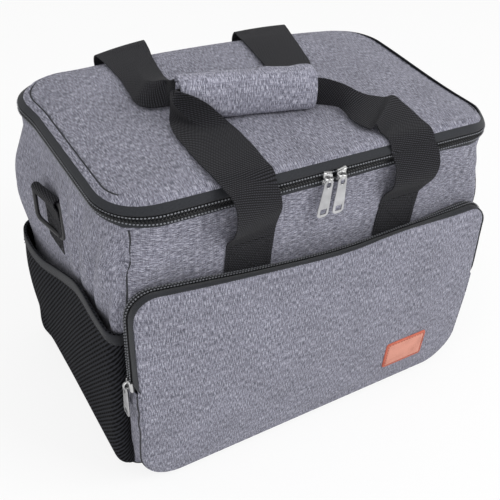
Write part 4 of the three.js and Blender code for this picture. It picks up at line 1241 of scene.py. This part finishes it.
def padded_strip(name, path, length, seed):
    """A padded panel: a closed form over a path across it, fullest in the middle."""
    path = through(path, 46)
    step = unit(np.gradient(path, axis=0))
    side = np.stack([-step[:, 1], step[:, 0]], 1)
    s = arc_length(path)
    across = np.sqrt(1 - (1 - np.clip(np.minimum(s, s[-1] - s) / 4.5, 0, 1)) ** 2)
    places = np.concatenate([np.linspace(-0.5, -0.44, 7), np.linspace(-0.44, 0.44, 60)[1:-1],
                             np.linspace(0.44, 0.5, 7)]) * length
    sections = []
    for x in places:
        end = np.clip((length / 2 - abs(x)) / PAD_TUCK, 0, 1)
        full = 0.28 + 0.72 * np.sqrt(1 - (1 - end) ** 2)
        spots = xyz(x, s, 0)
        folds = 1.3 * rough(spots, (22, 13, 1), seed) + 0.5 * rough(spots, (8, 5, 1), seed)
        half = (PAD_T / 2 * (0.3 + 0.7 * across) * full)[:, None]
        upper = path + side * (half + (folds * across * full)[:, None])
        loop = np.concatenate([upper, (path - side * half)[::-1]])
        sections.append([grip_point(x + GRIP_SHIFT, p[0], p[1]) for p in loop])
    # A brighter copy of the heather: painted light on the grip's face.
    piece = Piece(name, HEATHER_FINE_PAINTED_LIGHT)
    around = np.concatenate([s, s[::-1]])
    uv = np.stack(np.broadcast_arrays(places[:, None], around[None, :]), -1) * MM
    add_loft(piece, np.array(sections), 0, uv)
    return piece


def make_grip():
    back, front = -7.5, 8.0
    wrap = [(back, 334.0), (back - 0.6, 328), (back - 1.2, 318), (back - 0.6, 311), (back + 3, 307.6),
            (0, 307.0), (front - 3.5, 307.6), (front - 0.6, 311), (front - 0.2, 318)]
    pad = padded_strip("grip_pad_wrap", wrap, GRIP_L, 1.7)
    pad.done("rear_handle", ["grip_pad"], "heather_fabric")
    over = [(back - 1.6, 334.0), (back - 0.4, 338.2), (-3, 340.0), (2.5, 339.8), (front + 0.2, 338),
            (front + 3.4, 333), (front + 5.0, 326), (front + 5.4, 318), (front + 4.4, 311.5),
            (front + 2.0, 307.4)]
    flap = padded_strip("grip_flap_wrap", over, GRIP_L + 1.0, 4.1)
    flap.done("grip_flap", ["grip_flap"], "heather_fabric")


# Rings and their tabs

def make_rings():
    for hand, sx in (("left", -1), ("right", 1)):
        def place(out, across, z):
            x = RING_X + out + across * np.sin(RING_TURN)
            return xyz(sx * x, RING_Y + 2 + across * np.cos(RING_TURN), z)

        across, up = rounded_box(RING_W / 2, RING_H / 2, 6.0).T
        piece = Piece(f"ring_{hand}", PLASTIC)
        add_tube(piece, place(0, across, RING_Z + up), 2.2, (1, 0, 0), 14, flat=0.95, loop=True)
        piece.done(f"carry_ring_{hand}", [f"carry_ring_{hand}"], "ring_plastic")

        # The tab goes up over the ring's top bar and back down on itself
        edges = []
        for across in (-18.5, 0, 18.5):
            y = RING_Y + across
            wall = WALL_X + 1.2 + wall_push(hand, share_of(hand, y), 215)
            over = place(0, across, 0)[0] * sx
            edges.append([(sx * x, y, z) for x, z in (
                (wall, 180), (wall, 194), (wall + 0.2, 212), (wall + 0.4, 225), (over - 3.0, 232.6),
                (over - 1.8, 236.2), (over + 1.2, 237.4), (over + 3.9, 235.6), (over + 4.2, 231),
                (over + 2.2, 226.4), (wall + 3.6, 221), (wall + 2.7, 212), (wall + 2.4, 196),
                (wall + 2.4, 178))])
        tab = Piece(f"ring_tab_{hand}_strap", WEBBING, BLACK_THREAD)
        add_ribbon(tab, edges, 110, thickness=1.5)
        corners = ((-15, 183), (15, 183), (15, 209), (-15, 209))
        add_box_stitch(tab, [(sx * (wall + 3.3), RING_Y + dy, z) for dy, z in corners], (sx, 0, 0))
        tab.done("bag", [f"ring_tab_{hand}"], "webbing")


# Mesh pockets

MOUTH = [(-124, 171), (-112, 181), (-85, 184), (-59, 183), (-36, 178), (-14, 169), (5, 161),
         (24, 154), (42, 148), (60, 145), (90, 144), (116, 146)]


def mesh_grid(hand, rows):
    """The mesh stands off the side wall, from its foot to its mouth."""
    base, out, share = wall_grid(hand, np.linspace(8, 190, rows), 96)
    y = base[rows // 2, :, 1]
    z = 3.5 + (curve_at(MOUTH, y) - 3.5) * np.linspace(0, 1, rows)[:, None]
    edge = np.clip(1 - np.abs(share - 0.5) * 2, 0, 1)
    full = 1 - (1 - np.clip(edge / np.where(y < 0, 0.13, 0.25), 0, 1)) ** 5
    foot = np.sqrt(1 - (1 - np.clip((z - 2) / 13, 0, 1)) ** 2)
    top = 1 - 0.2 * ease(100, 180, z)
    plain, _ = wall_row(hand, FABRIC_IN, BODY_R, 96)
    bulge = (MESH_STAND + 1.5 * np.sin(y / 21 + z / 30) * ease(10, 60, z)) * full * foot * top + 0.9
    bulge += 3 * np.exp(-((y - 97) / 13) ** 2) * (1 - ease(20, 45, z)) * foot
    plan = plain[None] + out[..., :2] * (wall_push(hand, share, z) + bulge)[..., None]
    return xyz(plan[..., 0], plan[..., 1], z), out


def make_mesh_pockets():
    for hand in ("left", "right"):
        grid, out = mesh_grid(hand, 70)
        piece = Piece(f"side_net_{hand}", NET)
        across = np.broadcast_to(arc_length(grid[len(grid) // 2]), grid.shape[:2])
        add_cloth(piece, grid, 1.3, (0, 0, 100), np.stack([across, grid[..., 2]], -1) * MM)
        made = piece.done("bag", [f"mesh_pocket_{hand}"], "mesh")
        top, away = grid[-1], out[-1]
        down = -unit(np.gradient(grid, axis=0)[-1])
        section = ((12.5, 0), (11, 0.5), (8, 1.0), (4, 1.1), (1.4, 1.0), (0.4, 0.6), (0.2, -0.4), (0.8, -2))
        edge = np.array([top + down * depth + away * proud for depth, proud in section])
        strip = Piece(f"elastic_{hand}", ELASTIC, BLACK_THREAD)
        add_cloth(strip, edge, 1.0, (0, 0, 100), metres_across(edge)[..., ::-1])
        add_stitches(strip, edge[1] + away * 0.2, away, 3, 1.8, 0.3, 1)
        strip.done("bag", [f"mesh_binding_{hand}"], "elastic_binding")


# Patch

def make_patch():
    def outline(inset, proud):
        r = max(PATCH_R - inset, 0.4)
        across, up = rounded_box(PATCH_W / 2 - inset, PATCH_H / 2 - inset, r).T
        return xyz(PATCH_X + across, POCKET_Y - 3.1 - proud, PATCH_Z + up)

    section = [(0.0, 0.0), (0.0, 0.9), (0.5, 1.5), (1.6, 1.7), (2.2, 1.35), (2.8, 1.3),
               (3.4, 1.65), (6, 1.75), (10, 1.8), (15, 1.8)]
    rows = np.array([outline(inset, proud) for inset, proud in section])
    piece = Piece("patch_leather", LEATHER, LEATHER_RIM, PATCH_THREAD)
    add_loft(piece, rows)
    rim = 4 * rows.shape[1]
    piece.slots[:rim] = [1] * rim
    path = outline(2.5, 1.5)
    add_stitches(piece, np.concatenate([path, path[:1]]), (0, -1, 0), 2.6, 1.2, 0.42, 2)
    piece.done("bag", ["leather_patch"], "leather_patch", warp=pocket_fall)


# Sliders and pulls

def slider_piece(name, origin, ahead, out):
    """A zip slider: a plate with two cheeks and a small arched bail."""
    side = np.cross(ahead, out)
    piece = Piece(name, STEEL)

    def place(points):
        p = np.asarray(points, float)
        return origin + p[..., :1] * ahead + p[..., 1:2] * side + p[..., 2:3] * out

    half = np.array([(-4.75, 1.9), (-4.2, 3.0), (-2.0, 3.6), (1.5, 4.6), (4.0, 5.6),
                     (4.75, 5.0), (4.75, 1.2)])
    shape = np.concatenate([half, [(3.6, 0.0)], half[::-1] * (1, -1)])
    layers = ((0.7, 0.0), (0.1, 0.25), (0.0, 0.7), (0.0, 1.3), (0.15, 1.75), (0.8, 2.0))
    add_loft(piece, np.array([place(level(shape * (1 - inset / 5), h)) for inset, h in layers]))
    for s in (-1, 1):
        cheek = []
        for u in np.linspace(-4.4, 4.4, 9):
            w = 3.4 + 0.2 * (u + 4.4)
            c = [(u, s * (w + 0.9), 1.4), (u, s * (w + 1.3), 0.6), (u, s * (w + 1.2), -1.6),
                 (u, s * (w + 0.6), -2.4), (u, s * (w - 0.4), -2.2), (u, s * (w - 0.1), 0.9)]
            cheek.append(place(c))
        add_loft(piece, np.array(cheek))
    t = np.linspace(0, np.pi, 13)
    bail = xyz(-3.9 * np.cos(t), 0, 1.3 + 4.4 * np.sin(t) ** 0.8)
    add_tube(piece, place(bail), 0.95, side, 8, flat=1.35)
    return piece


def pull_piece(name, top, down, side, out):
    """A pull: a tapered flat plate with a window near the slider and a slot at its end."""
    d = np.linspace(0, PULL_L, 36)
    half = np.where(d < 3, 2.6 + 1.9 * np.sin(np.pi / 2 * np.clip(d / 3, 0, 1)),
                    4.5 + 1.3 * ease(3, PULL_L - 4, d))
    half = half * np.sqrt(np.clip(1 - (np.clip(d - (PULL_L - 3.5), 0, 3.5) / 3.9) ** 2, 0.05, 1))
    u = np.linspace(-1, 1, 15)
    window = (2.0, 7.2, 2.5)
    slot = (PULL_L - 7.6, PULL_L - 3.4, 3.4)

    # Which cells of the plate are solid, with an empty border round them
    solid = np.zeros((len(d) + 1, len(u) + 1), bool)
    for i, j in np.ndindex(len(d) - 1, len(u) - 1):
        at, x = (d[i] + d[i + 1]) / 2, half[i] * (u[j] + u[j + 1]) / 2
        solid[i + 1, j + 1] = not any(a < at < b and abs(x) < w for a, b, w in (window, slot))

    rim = np.minimum(1 - np.abs(u), np.minimum(d, PULL_L - d)[:, None] / PULL_L * 6)
    thick = out * (0.7 * (0.55 + 0.45 * np.minimum(rim * 4, 1)))[..., None]
    plate = top + down * d[:, None, None] + side * (half[:, None] * u)[..., None]
    points = np.concatenate([(plate - thick).reshape(-1, 3), (plate + thick).reshape(-1, 3)])
    under, over = np.arange(len(points)).reshape(2, len(d), len(u))
    faces = []
    for i, j in np.argwhere(solid[1:-1, 1:-1]):
        q = [(i, j), (i, j + 1), (i + 1, j + 1), (i + 1, j)]
        faces += [[over[c] for c in q], [under[c] for c in q][::-1]]
        beside = (solid[i, j + 1], solid[i + 1, j + 2], solid[i + 2, j + 1], solid[i + 1, j])
        for a, b, met in zip(q, q[1:] + q[:1], beside):
            if not met:
                faces.append([over[a], over[b], under[b], under[a]])
    used, faces = np.unique(faces, return_inverse=True)
    piece = Piece(name, PULL)
    piece.add(points[used], faces.reshape(-1, 4).tolist())

    a = np.linspace(0, TAU, 25)[:-1, None]
    middle = (window[0] + window[1]) / 2
    loop = top + out * 0.5 + down * (middle + 2.9 * np.sin(a)) + side * (2.7 * np.cos(a))
    add_tube(piece, loop, 0.5, out, 6, loop=True)
    return piece


def make_sliders():
    left, front = np.array([-1.0, 0, 0]), np.array([0, -1.0, 0])
    for hand, x, way, lean in (("left", -11.05, -1, 0.13), ("right", 2.95, 1, 0.06)):
        slider = slider_piece(f"slider_{hand}", np.array([x, -123.2, ZIP_Z]), -left * way, front)
        slider.done(f"zip_slider_{hand}", [f"zip_slider_{hand}"], "zip_metal")
        down, out = unit(np.array([-lean, -0.07, -1.0])), unit(front + (0, 0, 0.07))
        pull = pull_piece(f"pull_{hand}", np.array([x, -127.4, 284.5]), down, -left, out)
        pull.done(f"zip_pull_{hand}", [f"zip_pull_{hand}"], "zip_metal")
    origin = np.array([-197.6, POCKET_COIL_Y, 133.0])
    down = np.array([0, 0, -1.0])
    slider = slider_piece("slider_pocket", origin, down, left)
    slider.done("pocket_slider", ["pocket_slider"], "zip_metal")
    pull = pull_piece("pull_pocket", origin + (-4.5, 0, -1.6), down, -front, left)
    pull.done("pocket_pull", ["pocket_pull"], "zip_metal")


# CAD nodes that stay get their finishes

def finish_nodes():
    kept = {FOAM: ["foam_front", "foam_back", "foam_left", "foam_right", "foam_base"],
            PILE: ["grip_loop_strip", "grip_hook_strip"]}
    for finish, names in kept.items():
        for name in names:
            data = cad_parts[name].data
            data.materials.clear()
            data.materials.append(finish)


# Camera, light and floor

def show_to_camera(tree, share, plain, seen, end):
    """Gives the camera's own rays a share of a second shader."""
    rays = tree.nodes.new("ShaderNodeLightPath").outputs["Is Camera Ray"]
    part = tree.nodes.new("ShaderNodeMath")
    part.operation = "MULTIPLY"
    part.inputs[1].default_value = share
    mix = tree.nodes.new("ShaderNodeMixShader")
    for source, socket in ((rays, part.inputs[0]), (part.outputs[0], mix.inputs[0]),
                           (plain.outputs[0], mix.inputs[1]), (seen.outputs[0], mix.inputs[2]),
                           (mix.outputs[0], tree.nodes[end].inputs["Surface"])):
        tree.links.new(source, socket)


def make_camera(scene):
    right = Vector(EYE_RIGHT).normalized()
    look = Vector(EYE_LOOK)
    look = (look - look.dot(right) * right).normalized()
    camera = bpy.data.cameras.new("camera")
    camera.lens, camera.sensor_width = LENS, SENSOR
    camera.shift_x, camera.shift_y = SHIFT
    eye = bpy.data.objects.new("camera", camera)
    turn = Matrix((right, right.cross(look), -look)).transposed().to_4x4()
    eye.matrix_world = Matrix.Translation(EYE) @ turn
    scene.collection.objects.link(eye)
    scene.camera = eye


def make_stage():
    scene = bpy.context.scene
    scene.view_settings.view_transform = "Standard"
    make_camera(scene)

    world = bpy.data.worlds.new("studio")
    world.use_nodes = True
    tree = world.node_tree
    back = tree.nodes["Background"]
    back.inputs["Color"].default_value = (1, 1, 1, 1)
    back.inputs["Strength"].default_value = 0.56
    white = tree.nodes.new("ShaderNodeBackground")
    white.inputs["Strength"].default_value = 1.0
    show_to_camera(tree, 1.0, back, white, "World Output")
    scene.world = world

    for name, place, size, power in (
        ("key", (1.5, -1.5, 1.7), 1.4, 36), ("fill", (-1.8, -1.2, 1.2), 1.8, 17),
        ("top", (-0.2, 0.4, 2.4), 1.8, 7),
    ):
        lamp = bpy.data.lights.new(name, "AREA")
        lamp.energy = power
        lamp.size = size
        shown = bpy.data.objects.new(name, lamp)
        shown.location = place
        aim = Vector((0, 0, 0.15)) - Vector(place)
        shown.rotation_euler = aim.to_track_quat("-Z", "Y").to_euler()
        scene.collection.objects.link(shown)

    ring = np.linspace(0, TAU, 65)[:-1]
    mesh = bpy.data.meshes.new("floor")
    mesh.from_pydata(xyz(5 * np.cos(ring), 5 * np.sin(ring), 0), [], [list(range(64))])
    floor = bpy.data.objects.new("floor", mesh)
    f = Finish("floor_paper", 0.9, specular=0.1)
    f.colour((0.9, 0.9, 0.9, 1))
    glow = f.tree.nodes.new("ShaderNodeEmission")
    glow.inputs["Strength"].default_value = 1.0
    show_to_camera(f.tree, 0.84, f.shader, glow, "Material Output")
    mesh.materials.append(f.material)
    scene.collection.objects.link(floor)


make_stage()
make_walls()
make_seams()
make_base()
make_liner()
make_rim("rim_binding_tape", "rim_binding", "bag", RIM_Z + 0.6, 1)
make_rim("lid_binding_tape", "lid_binding", "lid", 289.0, -1)
make_lid()
make_lid_foam()
make_lid_liner()
make_tape("lower_tape_cloth", "lower_zip_tape", "bag", LOWER_TAPE)
make_tape("upper_tape_cloth", "upper_zip_tape", "lid", UPPER_TAPE)
make_main_coils()
make_hinge()
make_pocket_cloth()
make_pocket_zip()
make_gusset()
make_anchors()
make_front_handle()
make_rear_handle()
make_grip()
make_rings()
make_mesh_pockets()
make_patch()
make_sliders()
finish_nodes()
